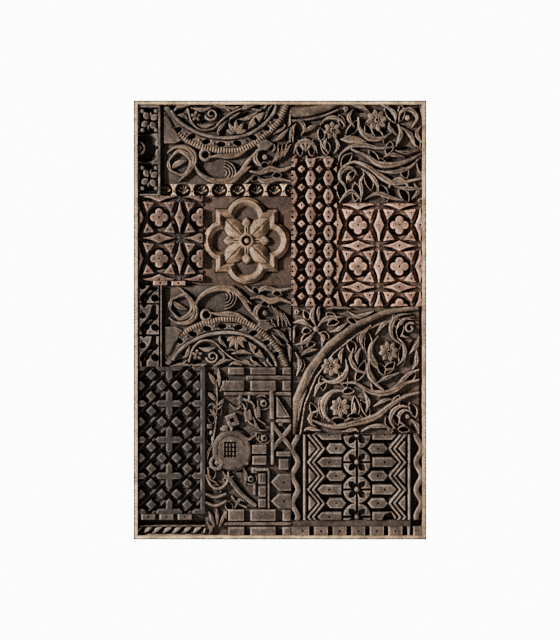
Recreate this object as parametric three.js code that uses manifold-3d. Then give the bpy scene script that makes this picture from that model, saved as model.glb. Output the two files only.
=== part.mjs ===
// A framed wall panel pieced together from carved wooden blocks.
// Lengths are in millimetres. The panel is laid out as its viewer sees it, x to the right, y up and z
// out of the wall. It is turned at the end so that its front faces -Y and its height runs along +Z.
// The origin is the centre of the back face, where the panel lies against the wall.

import * as THREE from 'three';
import { mergeVertices } from 'three/addons/utils/BufferGeometryUtils.js';
import Module from 'manifold-3d';

const wasm = await Module();
wasm.setup();

// Overall size, frame and board
const PANEL_WIDTH = 800;
const PANEL_HEIGHT = 1200;
const FRAME_FACE = 10.7;
const FRAME_DEPTH = 52;
const FRAME_CHAMFER = 1.6;
const BOARD_THICKNESS = 10;

// Blocks: how deep they are, how deep they are carved, and the joints beside and under them
const BLOCK_DEPTH = 38;
const RELIEF_DEPTH = 20;
const JOINT_GAP = 1;
const SEAT_GAP = 0.3;
const MITRE_GAP = 0.3;
const ROOT_DEPTH = 2;

// Left part: widths and heights of its rows and strips
const LEFT_ZONE_WIDTH = 420;
const CHANNEL_WIDTH = 9.5;
const TOP_ROW_HEIGHT = 249.5;
const MIDDLE_ROW_HEIGHT = 245;
const ARCH_ROW_HEIGHT = 222;
const FLOWER_STRIP_WIDTH = 62.5;
const SCALLOP_STRIP_HEIGHT = 32;
const LEFT_LATTICE_WIDTH = 179;
const UPPER_TILE_STRIP_HEIGHT = 12;
const LEAF_STRIP_WIDTH = 66.5;
const PEG_BLOCK_WIDTH = 185;
const ROPE_STRIP_HEIGHT = 27;
const RECESS_HEIGHT = 16;
const LOWER_TILE_STRIP_HEIGHT = 16;

// Right part
const VINE_BLOCK_HEIGHT = 270.5;
const VINE_NOTCH_DEPTH = 123;
const HEXAGON_BLOCK_WIDTH = 124.5;
const RIGHT_LATTICE_HEIGHT = 281;
const LARGE_VINE_LEFT_GAP = 4.5;
const LARGE_VINE_RIGHT_GAP = 8.5;
const ROUNDEL_BLOCK_HEIGHT = 233;
const PLAIN_STRIP_HEIGHT = 18;
const PLAIN_STRIP_END_GAP = 31.5;
const PLAIN_STRIP_DEPTH = 30;
const DENTIL_STRIP_HEIGHT = 25;

// Widths of the carved lines
const STEM_WIDTH = 7;
const RIB_WIDTH = 5;
const BORDER_WIDTH = 10;
const LEAF_WIDTH = 14;
const PETAL_NOTCH = 0.62;
const FLOWER_EYE = 0.3;

// Lattice of crossing circles
const LATTICE_PITCH = 113;
const LATTICE_FIRST = 58.5;
const LATTICE_CIRCLE = 76.6;
const LATTICE_POCKET = 30.2;
const LATTICE_RIB = 12.6;
const QUATREFOIL_REACH = 24.6;

// Hexagon block
const HEXAGON_PITCH_X = 49.3;
const HEXAGON_PITCH_Y = 49.7;
const HEXAGON_HALF_WIDTH = 14.8;
const HEXAGON_HALF_HEIGHT = 21.9;
const HEXAGON_FIRST_X = 3.3;
const HEXAGON_FIRST_Y = 3.5;
const HEXAGON_DIAMOND = 9.8;

// Peg block
const PEG_PITCH = 99;
const PEG_FIRST_X = 36.6;
const PEG_FIRST_Y = 51.1;
const PEG_OFFSET = 29.3;
const PEG_HALF = 13;
const STAR_REACH = 37;
const STAR_ARM = 8;
const STAR_CORNER = 11;

// Roundel block
const ROUNDEL_PITCH = 74.7;
const ROUNDEL_RADIUS = 37;
const ROUNDEL_SLOT = 4;
const HEX_BAR_OFFSET = 57.4;
const HEX_BAR_HALF_WIDTH = 26.8;
const HEX_BAR_HALF_HEIGHT = 12.6;
const ARROW_TIP = 108;
const ARROW_END = 46;
const ZIGZAG_NEAR = 96;
const ZIGZAG_FAR = 126;
const ZIGZAG_STEP = 11;
const SIDE_BAR_OFFSET = 142;

// Scallops, tiles and rope
const SCALLOP_PITCH = 50;
const SCALLOP_FIRST = 11.5;
const SCALLOP_RADIUS = 18.3;
const TILE_PITCH = 50;
const TILE_LENGTH = 37;
const UPPER_TILE_FIRST = 43;
const LOWER_TILE_FIRST = 10;
const DENTIL_PITCH = 50.8;
const DENTIL_SLOT = 9;
const DENTIL_FIRST = 56;
const ROPE_PITCH = 31;

// Quatrefoil block
const MOULDING_SQUARE = 80;
const MOULDING_LOBE = 50;
const MOULDING_LOBE_OFFSET = 62;
const MOULDING_WIDTH = 25;
const CORNER_GAP = 4;
const BLOSSOM_PETAL = 82;
const BLOSSOM_WIDTH = 36;
const BLOSSOM_LEAF = 60;
const BLOSSOM_EYE = 21;
const BLOSSOM_ROOT = 0.7;

// Levels of carved surfaces, as shares of the relief
const TOP = 1;
const HIGH = 0.8;
const MIDDLE = 0.55;
const LOW = 0.3;

const LIGHT_WOOD = 0xb08a68;
const DARK_WOOD = 0x5a4436;
const RED_WOOD = 0x8a6450;
const BOARD_WOOD = 0x33261e;

const groundHeight = BLOCK_DEPTH - RELIEF_DEPTH;
const point = (x, y) => new THREE.Vector2(x, y);

// Solids: a closed outline pushed out from the wall, and the way between geometry and solid

function toSolid(geometry) {
  geometry.deleteAttribute('normal');
  geometry.deleteAttribute('uv');
  const merged = mergeVertices(geometry);
  const vertProperties = Float32Array.from(merged.attributes.position.array);
  const triVerts = Uint32Array.from(merged.index.array);
  return new wasm.Manifold(new wasm.Mesh({ numProp: 3, vertProperties, triVerts }));
}

function toGeometry(solid) {
  const mesh = solid.getMesh();
  const geometry = new THREE.BufferGeometry();
  geometry.setAttribute('position', new THREE.BufferAttribute(mesh.vertProperties, mesh.numProp));
  geometry.setIndex(new THREE.BufferAttribute(mesh.triVerts, 1));
  geometry.computeVertexNormals();
  return geometry;
}

function prism(outline, bottom, top) {
  const shape = new THREE.Shape(outline);
  const geometry = new THREE.ExtrudeGeometry(shape, { depth: top - bottom, bevelEnabled: false });
  geometry.translate(0, 0, bottom);
  return toSolid(geometry);
}

// A raised figure, from a little under the carved ground up to its level
function raise(outline, level = TOP) {
  return prism(outline, groundHeight - ROOT_DEPTH, groundHeight + level * RELIEF_DEPTH);
}

// Outlines

function rectangle(area) {
  return [
    point(area.left, area.bottom),
    point(area.right, area.bottom),
    point(area.right, area.top),
    point(area.left, area.top),
  ];
}

function circle(center, radius, sides = 10) {
  return Array.from({ length: sides }, (_, i) => {
    const angle = (2 * Math.PI * i) / sides;
    return point(center.x + radius * Math.cos(angle), center.y + radius * Math.sin(angle));
  });
}

function diamond(center, halfWidth, halfHeight) {
  return [
    point(center.x + halfWidth, center.y),
    point(center.x, center.y + halfHeight),
    point(center.x - halfWidth, center.y),
    point(center.x, center.y - halfHeight),
  ];
}

function box(center, halfWidth, halfHeight, turn = 0) {
  const corners = [[-1, -1], [1, -1], [1, 1], [-1, 1]];
  return corners.map(([i, j]) => point(i * halfWidth, j * halfHeight)
    .rotateAround(point(0, 0), turn).add(center));
}

// Four round lobes on the axes
function quatrefoil(center, reach, sides = 12) {
  const waist = 0.62;
  return Array.from({ length: sides }, (_, i) => {
    const angle = (2 * Math.PI * i) / sides;
    const radius = reach * (1 + waist + (1 - waist) * Math.cos(4 * angle)) / 2;
    return point(center.x + radius * Math.cos(angle), center.y + radius * Math.sin(angle));
  });
}

// A leaf pointed at both ends; it may bow to one side
function leaf(base, tip, width, bow = 0, steps = 2) {
  const along = tip.clone().sub(base);
  const across = point(-along.y, along.x).normalize();
  const side = (sign) => Array.from({ length: steps }, (_, i) => {
    const share = (i + 1) / (steps + 1);
    const swell = Math.sin(Math.PI * share);
    const offset = swell * (sign * width / 2 + bow);
    return base.clone().addScaledVector(along, share).addScaledVector(across, offset);
  });
  return [base.clone(), ...side(-1), tip.clone(), ...side(1).reverse()];
}

// A line of even or tapering width along a smooth curve through its points
function stroke(points, startWidth, endWidth = startWidth, steps = points.length + 1) {
  const curve = new THREE.CatmullRomCurve3(points.map((p) => new THREE.Vector3(p.x, p.y, 0)));
  const near = [];
  const far = [];
  for (let i = 0; i <= steps; i += 1) {
    const share = i / steps;
    const spot = curve.getPointAt(share);
    const along = curve.getTangentAt(share);
    const half = THREE.MathUtils.lerp(startWidth, endWidth, share) / 2;
    near.push(point(spot.x + along.y * half, spot.y - along.x * half));
    far.push(point(spot.x - along.y * half, spot.y + along.x * half));
  }
  return [...near, ...far.reverse()];
}

function arc(center, radius, width, from, to, steps = 5) {
  const inner = [];
  const outer = [];
  for (let i = 0; i <= steps; i += 1) {
    const angle = THREE.MathUtils.degToRad(from + ((to - from) * i) / steps);
    const ray = point(Math.cos(angle), Math.sin(angle));
    outer.push(center.clone().addScaledVector(ray, radius + width / 2));
    inner.push(center.clone().addScaledVector(ray, radius - width / 2));
  }
  return [...outer, ...inner.reverse()];
}

// Blocks

// The part of the panel between four lines, less half a joint on each side
function cell(left, right, top, bottom) {
  const half = JOINT_GAP / 2;
  return { left: left + half, right: right - half, top: top - half, bottom: bottom + half };
}

// Finds a point of a block from hundredths of its width and height, from its top left corner
function finder(area, upsideDown = false) {
  const width = area.right - area.left;
  const height = area.top - area.bottom;
  return (across, down) => {
    const share = (upsideDown ? 100 - down : down) / 100;
    return point(area.left + (width * across) / 100, area.top - height * share);
  };
}

// A block with raised figures; plate is the level that they stand on, and pockets are sunk into it
function carve(outline, figures, plate = 0, pockets = []) {
  const plateHeight = groundHeight + plate * RELIEF_DEPTH;
  let slab = prism(outline, 0, plateHeight);
  if (pockets.length) {
    const sunk = pockets.map((pocket) => prism(pocket, groundHeight, BLOCK_DEPTH + ROOT_DEPTH));
    slab = slab.subtract(wasm.Manifold.union(sunk));
  }
  const field = prism(outline, groundHeight - ROOT_DEPTH, BLOCK_DEPTH);
  return slab.add(wasm.Manifold.union(figures).intersect(field));
}

const opening = {
  left: -PANEL_WIDTH / 2 + FRAME_FACE,
  right: PANEL_WIDTH / 2 - FRAME_FACE,
  top: PANEL_HEIGHT / 2 - FRAME_FACE,
  bottom: -PANEL_HEIGHT / 2 + FRAME_FACE,
};

// Lines that the blocks meet on
const zoneLine = opening.left + LEFT_ZONE_WIDTH;
const topRowLine = opening.top - TOP_ROW_HEIGHT;
const middleRowLine = topRowLine - MIDDLE_ROW_HEIGHT;
const archRowLine = middleRowLine - ARCH_ROW_HEIGHT;
const flowerLine = opening.left + FLOWER_STRIP_WIDTH;
const scallopLine = topRowLine + SCALLOP_STRIP_HEIGHT;
const leftLatticeLine = opening.left + LEFT_LATTICE_WIDTH;
const upperTileLine = middleRowLine + UPPER_TILE_STRIP_HEIGHT;
const leafLine = opening.left + LEAF_STRIP_WIDTH;
const pegLine = opening.left + PEG_BLOCK_WIDTH;
const ropeLine = opening.bottom + ROPE_STRIP_HEIGHT;
const lowerTileBottom = ropeLine + RECESS_HEIGHT;
const lowerTileLine = lowerTileBottom + LOWER_TILE_STRIP_HEIGHT;
const hexagonLine = zoneLine + HEXAGON_BLOCK_WIDTH;
const vineLine = opening.top - VINE_BLOCK_HEIGHT;
const notchLine = vineLine + VINE_NOTCH_DEPTH;
const rightLatticeLine = vineLine - RIGHT_LATTICE_HEIGHT;
const dentilLine = opening.bottom + DENTIL_STRIP_HEIGHT;
const plainLine = dentilLine + PLAIN_STRIP_HEIGHT;
const roundelLine = plainLine + ROUNDEL_BLOCK_HEIGHT;

const areas = {
  flower_strip: cell(opening.left, flowerLine, opening.top, topRowLine),
  upper_arch_block: cell(flowerLine + CHANNEL_WIDTH, zoneLine, opening.top, scallopLine),
  scallop_strip: cell(flowerLine, zoneLine, scallopLine, topRowLine),
  left_lattice_block: cell(opening.left, leftLatticeLine, topRowLine, upperTileLine),
  upper_tile_strip: cell(opening.left, leftLatticeLine, upperTileLine, middleRowLine),
  quatrefoil_block: cell(leftLatticeLine, zoneLine, topRowLine, middleRowLine),
  vine_block: cell(zoneLine, opening.right, opening.top, vineLine),
  hexagon_block: cell(zoneLine, hexagonLine, notchLine, rightLatticeLine),
  right_lattice_block: cell(hexagonLine, opening.right, vineLine, rightLatticeLine),
  leaf_strip: cell(opening.left, leafLine, middleRowLine, archRowLine),
  lower_arch_block: cell(leafLine + CHANNEL_WIDTH, zoneLine, middleRowLine, archRowLine),
  peg_block: cell(opening.left, pegLine, archRowLine, lowerTileLine),
  lower_tile_strip: cell(opening.left, pegLine, lowerTileLine, lowerTileBottom),
  rope_strip: cell(opening.left, pegLine, ropeLine, opening.bottom),
  village_block: cell(pegLine, zoneLine, archRowLine, opening.bottom),
  large_vine_block: cell(
    zoneLine + LARGE_VINE_LEFT_GAP, opening.right - LARGE_VINE_RIGHT_GAP, rightLatticeLine, roundelLine,
  ),
  roundel_block: cell(zoneLine, opening.right, roundelLine, plainLine),
  plain_strip: cell(zoneLine, opening.right - PLAIN_STRIP_END_GAP, plainLine, dentilLine),
  dentil_strip: cell(zoneLine, opening.right, dentilLine, opening.bottom),
};

// Evenly spaced places from a first one until the far edge
function places(first, pitch, length) {
  const count = Math.floor((length - first) / pitch) + 1;
  return Array.from({ length: Math.max(count, 1) }, (_, i) => first + pitch * i);
}

// A flower with rounded petals around a raised eye
function rosette(center, radius, petals = 6) {
  const rim = Array.from({ length: petals * 2 }, (_, i) => {
    const angle = (Math.PI * i) / petals;
    const reach = i % 2 === 0 ? radius : radius * PETAL_NOTCH;
    return point(center.x + reach * Math.cos(angle), center.y + reach * Math.sin(angle));
  });
  return [raise(rim, HIGH), raise(circle(center, radius * FLOWER_EYE, 5), TOP)];
}

function curl(center, radius, from, to, width = STEM_WIDTH, level = TOP) {
  return raise(arc(center, radius, width, from, to), level);
}

function palmette(base, reach, facing) {
  return [-70, -35, 0, 35, 70].map((spread) => {
    const angle = THREE.MathUtils.degToRad(facing + spread);
    const tip = point(base.x + reach * Math.cos(angle), base.y + reach * Math.sin(angle));
    return raise(leaf(base, tip, reach * 0.34, 0, 1), HIGH);
  });
}

function archBlock(area, upsideDown) {
  const at = finder(area, upsideDown);
  const up = upsideDown ? -1 : 1;
  const outerEdge = [
    at(0, 8), at(15.5, 41), at(32, 53), at(51.5, 58), at(74, 45), at(89, 21), at(98, -2),
  ];
  const innerEdge = [at(7, 13), at(17.7, 29), at(31.8, 39), at(50, 43), at(66.9, 38), at(81, 23), at(88, 6)];
  const beads = [[27, 43.5], [39, 48.5], [52, 50.5], [65, 44.5], [76.5, 34]];
  return [
    raise(stroke(outerEdge, BORDER_WIDTH), HIGH),
    raise(stroke(innerEdge, RIB_WIDTH), TOP),
    ...beads.map(([across, down]) => raise(diamond(at(across, down), RIB_WIDTH, RIB_WIDTH), HIGH)),
    raise([at(0, 13), at(0, 46.5), at(8.4, 46.5), at(12, 43)].reverse(), TOP),
    raise(stroke([at(19.8, 8), at(26.5, 28), at(38.8, 29), at(49.3, 14.9), at(71, 1)], RIB_WIDTH), TOP),
    ...rosette(at(25.5, 14.5), LEAF_WIDTH * 0.9, 5),
    curl(at(37, 11), LEAF_WIDTH * 0.7, 0, 300, RIB_WIDTH, HIGH),
    ...palmette(at(57, 37), LEAF_WIDTH * 2.6, 90 * up),
    raise(leaf(at(68, 27), at(79, 13), LEAF_WIDTH * 1.3), HIGH),
    raise(arc(at(10.8, 74.7), LEAF_WIDTH * 2.4, STEM_WIDTH, -150, 150, 9), TOP),
    raise(leaf(at(4, 76), at(19, 73), LEAF_WIDTH * 1.4), TOP),
    raise(stroke(
      [at(24.7, 74), at(31, 88), at(40, 95.5), at(51.5, 95.5), at(60, 84), at(66.6, 69), at(77.4, 55)],
      RIB_WIDTH, STEM_WIDTH,
    ), TOP),
    ...[0, 1, 2].map((ring) => curl(
      at(50, 79), LEAF_WIDTH * (0.5 + 0.72 * ring), 10, 190, RIB_WIDTH, HIGH,
    )),
    curl(at(32.5, 64), LEAF_WIDTH, 0, 320, STEM_WIDTH, TOP),
    raise(stroke([at(37, 60), at(49, 64)], RIB_WIDTH), HIGH),
    curl(at(79, 68), LEAF_WIDTH * 1.3, 40, 330, STEM_WIDTH, TOP),
    raise(leaf(at(86, 74), at(96, 54), LEAF_WIDTH * 1.2, 4), HIGH),
    raise(stroke([at(70.6, 83), at(83, 81), at(96, 81.6)], STEM_WIDTH), TOP),
    raise(circle(at(80, 93), STEM_WIDTH, 6), TOP),
    raise(leaf(at(87, 44), at(95, 32), LEAF_WIDTH * 0.8, 3), HIGH),
    raise(leaf(at(62, 97), at(72, 88), LEAF_WIDTH * 0.8, 3), HIGH),
    raise(leaf(at(88, 95), at(98, 92), LEAF_WIDTH * 0.8, 3), HIGH),
  ];
}

function flowerStrip(area) {
  const at = finder(area);
  const half = LEAF_WIDTH * 0.62;
  return [
    ...[[34.8, 8.1], [39.2, 23.8], [34.8, 71.9], [34.8, 89.7]].map(
      ([across, down]) => raise(diamond(at(across, down), half, half * 1.2)),
    ),
    ...[[70, 15.3], [72, 26.4], [74, 70.8], [72, 82.7]].map(
      ([across, down]) => raise(circle(at(across, down), half, 6)),
    ),
    raise(circle(at(4, 47.9), LEAF_WIDTH * 1.15)),
    raise([at(96, 32), at(66, 34), at(78, 41), at(80, 48), at(78, 56), at(64, 63), at(96, 65)]),
    raise(rectangle({ left: at(91, 0).x, right: area.right, top: area.top, bottom: at(0, 29).y })),
    raise(rectangle({ left: at(91, 0).x, right: area.right, top: at(0, 69).y, bottom: area.bottom })),
    raise([at(0, 99.5), at(60, 99.5), at(54, 97.6), at(0, 97.6)].reverse(), TOP),
  ];
}

// Waisted flats between a row of round scallops
function scallopStrip(area) {
  const centerLine = (area.top + area.bottom) / 2;
  const length = area.right - area.left;
  const flats = places(SCALLOP_FIRST + SCALLOP_PITCH / 2, SCALLOP_PITCH, length).map((along) => {
    const x = area.left + along;
    const reach = (area.top - area.bottom) / 2;
    const waist = SCALLOP_PITCH / 2 - SCALLOP_RADIUS;
    const shoulder = SCALLOP_PITCH / 2 - SCALLOP_RADIUS * 0.45;
    return raise([
      point(x - shoulder, centerLine - reach), point(x + shoulder, centerLine - reach),
      point(x + waist, centerLine), point(x + shoulder, centerLine + reach),
      point(x - shoulder, centerLine + reach), point(x - waist, centerLine),
    ]);
  });
  const bosses = places(SCALLOP_FIRST, SCALLOP_PITCH, length).map(
    (along) => raise(circle(point(area.left + along, centerLine), SCALLOP_RADIUS * 0.45, 5), MIDDLE),
  );
  return [...flats, ...bosses];
}

// Where two circles cross, seen from the first one; the side is +1 or -1
function crossing(radius, otherRadius, distance, side = 1) {
  const along = (radius ** 2 - otherRadius ** 2 + distance ** 2) / (2 * distance);
  return point(along, side * Math.sqrt(Math.max(radius ** 2 - along ** 2, 0)));
}

function latticeBlock(area) {
  const half = LATTICE_PITCH / 2;
  const lensHalfWidth = LATTICE_CIRCLE - half - LATTICE_RIB / 2;
  const lensHalfLength = crossing(LATTICE_CIRCLE - LATTICE_RIB / 2, LATTICE_CIRCLE - LATTICE_RIB / 2, LATTICE_PITCH).y;
  const foot = crossing(LATTICE_PITCH - LATTICE_CIRCLE + LATTICE_RIB / 2, LATTICE_CIRCLE + LATTICE_RIB / 2, LATTICE_PITCH);
  const peak = crossing(LATTICE_CIRCLE - LATTICE_RIB / 2, LATTICE_CIRCLE + LATTICE_RIB / 2, LATTICE_PITCH);
  const peakReach = (peak.x + peak.y) / 2;
  const figures = [];
  const pockets = [];
  const width = area.right - area.left;
  const height = area.top - area.bottom;
  for (const across of places(LATTICE_FIRST - LATTICE_PITCH, LATTICE_PITCH, width + half)) {
    for (const down of places(LATTICE_FIRST - LATTICE_PITCH, LATTICE_PITCH, height + half)) {
      const center = point(area.left + across, area.top - down);
      const inAcross = across > -QUATREFOIL_REACH && across < width + LATTICE_POCKET;
      const inDown = down > -QUATREFOIL_REACH && down < height + LATTICE_POCKET;
      if (inAcross && inDown) {
        figures.push(raise(quatrefoil(center, QUATREFOIL_REACH)));
        pockets.push(circle(center, LATTICE_POCKET, 8));
      }
      if (inDown) {
        const middle = point(center.x + half, center.y);
        const reach = point(0, lensHalfLength);
        figures.push(raise(leaf(middle.clone().sub(reach), middle.clone().add(reach), 2 * lensHalfWidth, 0, 1)));
      }
      if (inAcross) {
        const middle = point(center.x, center.y - half);
        const reach = point(lensHalfLength, 0);
        figures.push(raise(leaf(middle.clone().sub(reach), middle.clone().add(reach), 2 * lensHalfWidth, 0, 1)));
      }
      for (const [i, j] of [[1, 1], [-1, 1], [-1, -1], [1, -1]]) {
        const corners = [[foot.x, foot.y], [peakReach, peakReach], [foot.y, foot.x]];
        const placed = corners.map(([x, y]) => point(center.x + i * x, center.y + j * y));
        const peakPoint = placed[1];
        const inside = peakPoint.x > area.left && peakPoint.x < area.right
          && peakPoint.y > area.bottom && peakPoint.y < area.top;
        if (inside) {
          figures.push(raise(placed));
        }
      }
    }
  }
  return carve(rectangle(area), figures, MIDDLE, pockets);
}

function tileStrip(area, first) {
  return places(first, TILE_PITCH, area.right - area.left - TILE_LENGTH).map((along) => raise(rectangle({
    left: area.left + along,
    right: area.left + along + TILE_LENGTH,
    top: area.top,
    bottom: area.bottom,
  })));
}

function quatrefoilBlock(area) {
  const center = point((area.left + area.right) / 2, (area.top + area.bottom) / 2);
  const lobes = (radius, bottom, top) => [[1, 0], [0, 1], [-1, 0], [0, -1]].map(([i, j]) => prism(
    circle(point(center.x + i * MOULDING_LOBE_OFFSET, center.y + j * MOULDING_LOBE_OFFSET), radius, 12),
    bottom, top,
  ));
  const barbed = (shrink, bottom, top) => wasm.Manifold.union([
    prism(box(center, MOULDING_SQUARE - shrink, MOULDING_SQUARE - shrink), bottom, top),
    ...lobes(MOULDING_LOBE - shrink, bottom, top),
  ]);
  const bottom = groundHeight - ROOT_DEPTH;
  const corners = raise(rectangle(area), MIDDLE).subtract(barbed(-CORNER_GAP, bottom - 1, BLOCK_DEPTH + 1));
  const moulding = barbed(0, bottom, BLOCK_DEPTH).subtract(barbed(MOULDING_WIDTH, bottom - 1, BLOCK_DEPTH + 1));
  const petals = [45, 135, 225, 315].map((degrees) => {
    const angle = THREE.MathUtils.degToRad(degrees);
    const ray = point(Math.cos(angle), Math.sin(angle));
    const base = center.clone().addScaledVector(ray, BLOSSOM_EYE * BLOSSOM_ROOT);
    const tip = center.clone().addScaledVector(ray, BLOSSOM_PETAL);
    return raise(leaf(base, tip, BLOSSOM_WIDTH), HIGH);
  });
  const leaves = [0, 90, 180, 270].map((degrees) => {
    const angle = THREE.MathUtils.degToRad(degrees);
    const tip = point(center.x + BLOSSOM_LEAF * Math.cos(angle), center.y + BLOSSOM_LEAF * Math.sin(angle));
    const base = point(
      center.x + BLOSSOM_EYE * BLOSSOM_ROOT * Math.cos(angle),
      center.y + BLOSSOM_EYE * BLOSSOM_ROOT * Math.sin(angle),
    );
    return raise(leaf(base, tip, BLOSSOM_WIDTH * 0.5, 0, 1), MIDDLE);
  });
  const eye = raise(circle(center, BLOSSOM_EYE, 12), TOP).subtract(
    prism(circle(center, BLOSSOM_EYE * 0.5, 8), groundHeight + LOW * RELIEF_DEPTH, BLOCK_DEPTH + 1),
  );
  return [corners, moulding, ...petals, ...leaves, eye];
}

function vineBlock(area) {
  const at = finder(area);
  return [
    raise(stroke([at(-4, 8), at(14, 7), at(34, 0)], BORDER_WIDTH * 2.4, BORDER_WIDTH, 6), HIGH),
    ...rosette(at(65.5, 15.6), LEAF_WIDTH * 1.9),
    curl(at(65.5, 15.6), LEAF_WIDTH * 2.6, 120, 330, RIB_WIDTH, HIGH),
    ...rosette(at(35.9, 30.7), LEAF_WIDTH * 1.7),
    curl(at(35.9, 30.7), LEAF_WIDTH * 2.7, 60, 260, RIB_WIDTH, HIGH),
    raise(leaf(at(44, 37), at(57, 34), LEAF_WIDTH, 3), TOP),
    raise(leaf(at(5, 26), at(20, 32), LEAF_WIDTH * 1.4, 3), HIGH),
    raise(leaf(at(4, 44), at(22, 44), LEAF_WIDTH * 1.2, -3), HIGH),
    raise(stroke([at(57, 30), at(62, 41), at(73, 43)], STEM_WIDTH), TOP),
    raise(leaf(at(78, 40), at(83, 20), STEM_WIDTH)),
    raise(leaf(at(90, 38), at(84.5, 21), STEM_WIDTH)),
    curl(at(90, 10.9), LEAF_WIDTH * 0.9, -60, 240, RIB_WIDTH, TOP),
    raise(stroke([at(99, 53), at(85, 58), at(72, 67), at(60, 64), at(47, 58)], STEM_WIDTH, RIB_WIDTH), TOP),
    raise(stroke([at(99, 86), at(84, 80), at(72, 72)], STEM_WIDTH), TOP),
    curl(at(42, 72), LEAF_WIDTH * 1.2, 20, 330, STEM_WIDTH, TOP),
    ...[[38, 88], [50, 89], [61, 80]].map(
      ([across, down]) => raise(leaf(at(across - 4, down + 3), at(across + 4, down - 5), LEAF_WIDTH, 3), HIGH),
    ),
    raise(leaf(at(74, 50), at(84, 55), LEAF_WIDTH, 4), HIGH),
    raise(leaf(at(68, 88), at(88, 96), LEAF_WIDTH * 1.3, 4), HIGH),
    raise(leaf(at(52, 50), at(66, 54), LEAF_WIDTH, -3), HIGH),
  ];
}

// Flat hexagons in columns, joined by low necks, with diamonds in the spaces between
function hexagonBlock(area) {
  const width = area.right - area.left;
  const height = area.top - area.bottom;
  const figures = [];
  for (const across of places(HEXAGON_FIRST_X, HEXAGON_PITCH_X, width + HEXAGON_HALF_WIDTH)) {
    for (const down of places(HEXAGON_FIRST_Y, HEXAGON_PITCH_Y, height + HEXAGON_HALF_HEIGHT)) {
      const x = area.left + across;
      const y = area.top - down;
      const shoulder = HEXAGON_HALF_WIDTH * 0.43;
      figures.push(raise([
        point(x + HEXAGON_HALF_WIDTH, y),
        point(x + shoulder, y + HEXAGON_HALF_HEIGHT), point(x - shoulder, y + HEXAGON_HALF_HEIGHT),
        point(x - HEXAGON_HALF_WIDTH, y),
        point(x - shoulder, y - HEXAGON_HALF_HEIGHT), point(x + shoulder, y - HEXAGON_HALF_HEIGHT),
      ]));
      const between = point(x + HEXAGON_PITCH_X / 2, y - HEXAGON_PITCH_Y / 2);
      if (between.x < area.right && between.y > area.bottom) {
        figures.push(raise(diamond(between, HEXAGON_DIAMOND, HEXAGON_DIAMOND)));
      }
    }
  }
  return figures;
}

function leafStrip(area) {
  const at = finder(area);
  const unit = (first, length) => {
    const down = (share) => first + length * share;
    return [
      raise([at(4, down(0.04)), at(52, down(0.04)), at(34, down(0.16)), at(28, down(0.3)), at(4, down(0.42))]),
      raise([at(66, down(0.04)), at(92, down(0.04)), at(92, down(0.44)), at(80, down(0.3)), at(70, down(0.2))]),
      raise([at(4, down(0.56)), at(22, down(0.68)), at(30, down(0.82)), at(34, down(0.97)), at(4, down(0.97))]),
      raise([at(92, down(0.62)), at(92, down(0.97)), at(50, down(0.97)), at(60, down(0.84)), at(78, down(0.74))]),
      raise(leaf(at(38, down(0.4)), at(66, down(0.62)), LEAF_WIDTH, 3), MIDDLE),
    ];
  };
  return [
    ...unit(26, 37),
    ...unit(63.5, 36.5),
    raise(diamond(at(72, 6), LEAF_WIDTH * 0.6, LEAF_WIDTH * 0.6)),
    raise(quatrefoil(at(58, 16.5), LEAF_WIDTH * 0.8, 8)),
    raise([at(4, 2), at(40, 2), at(28, 9), at(4, 12)]),
    raise([at(4, 22.5), at(92, 22.5), at(92, 20.5), at(4, 20.5)].reverse()),
  ];
}

// A flat cross with a pointed tip to each arm and an open corner between the arms
function armedStar(center) {
  const shoulder = STAR_REACH - STAR_ARM;
  return [0, 1, 2, 3].flatMap((quarter) => [
    [STAR_REACH, 0], [shoulder, STAR_ARM], [STAR_CORNER, STAR_CORNER], [STAR_ARM, shoulder],
  ].map(([x, y]) => point(x, y).rotateAround(point(0, 0), (quarter * Math.PI) / 2).add(center)));
}

function pegBlock(area) {
  const width = area.right - area.left;
  const height = area.top - area.bottom;
  const figures = [];
  for (const across of places(PEG_FIRST_X, PEG_PITCH, width)) {
    for (const down of places(PEG_FIRST_Y, PEG_PITCH, height)) {
      const center = point(area.left + across, area.top - down);
      for (const [i, j] of [[1, 0], [0, 1], [-1, 0], [0, -1]]) {
        const spot = point(center.x + i * PEG_OFFSET, center.y + j * PEG_OFFSET);
        figures.push(raise(diamond(spot, PEG_HALF, PEG_HALF)));
      }
    }
  }
  for (const across of places(PEG_FIRST_X - PEG_PITCH / 2, PEG_PITCH, width + PEG_PITCH / 2)) {
    for (const down of places(PEG_FIRST_Y - PEG_PITCH / 2, PEG_PITCH, height + PEG_PITCH / 2)) {
      const center = point(area.left + across, area.top - down);
      figures.push(raise(armedStar(center)));
    }
  }
  return figures;
}

function ropeStrip(area) {
  const height = area.top - area.bottom;
  return places(ROPE_PITCH / 2, ROPE_PITCH, area.right - area.left).map((along) => {
    const x = area.left + along;
    const base = point(x - ROPE_PITCH * 0.4, area.bottom + height * 0.2);
    const tip = point(x + ROPE_PITCH * 0.4, area.top - height * 0.2);
    return raise(leaf(base, tip, height * 0.4, 0, 2), HIGH);
  });
}

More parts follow.
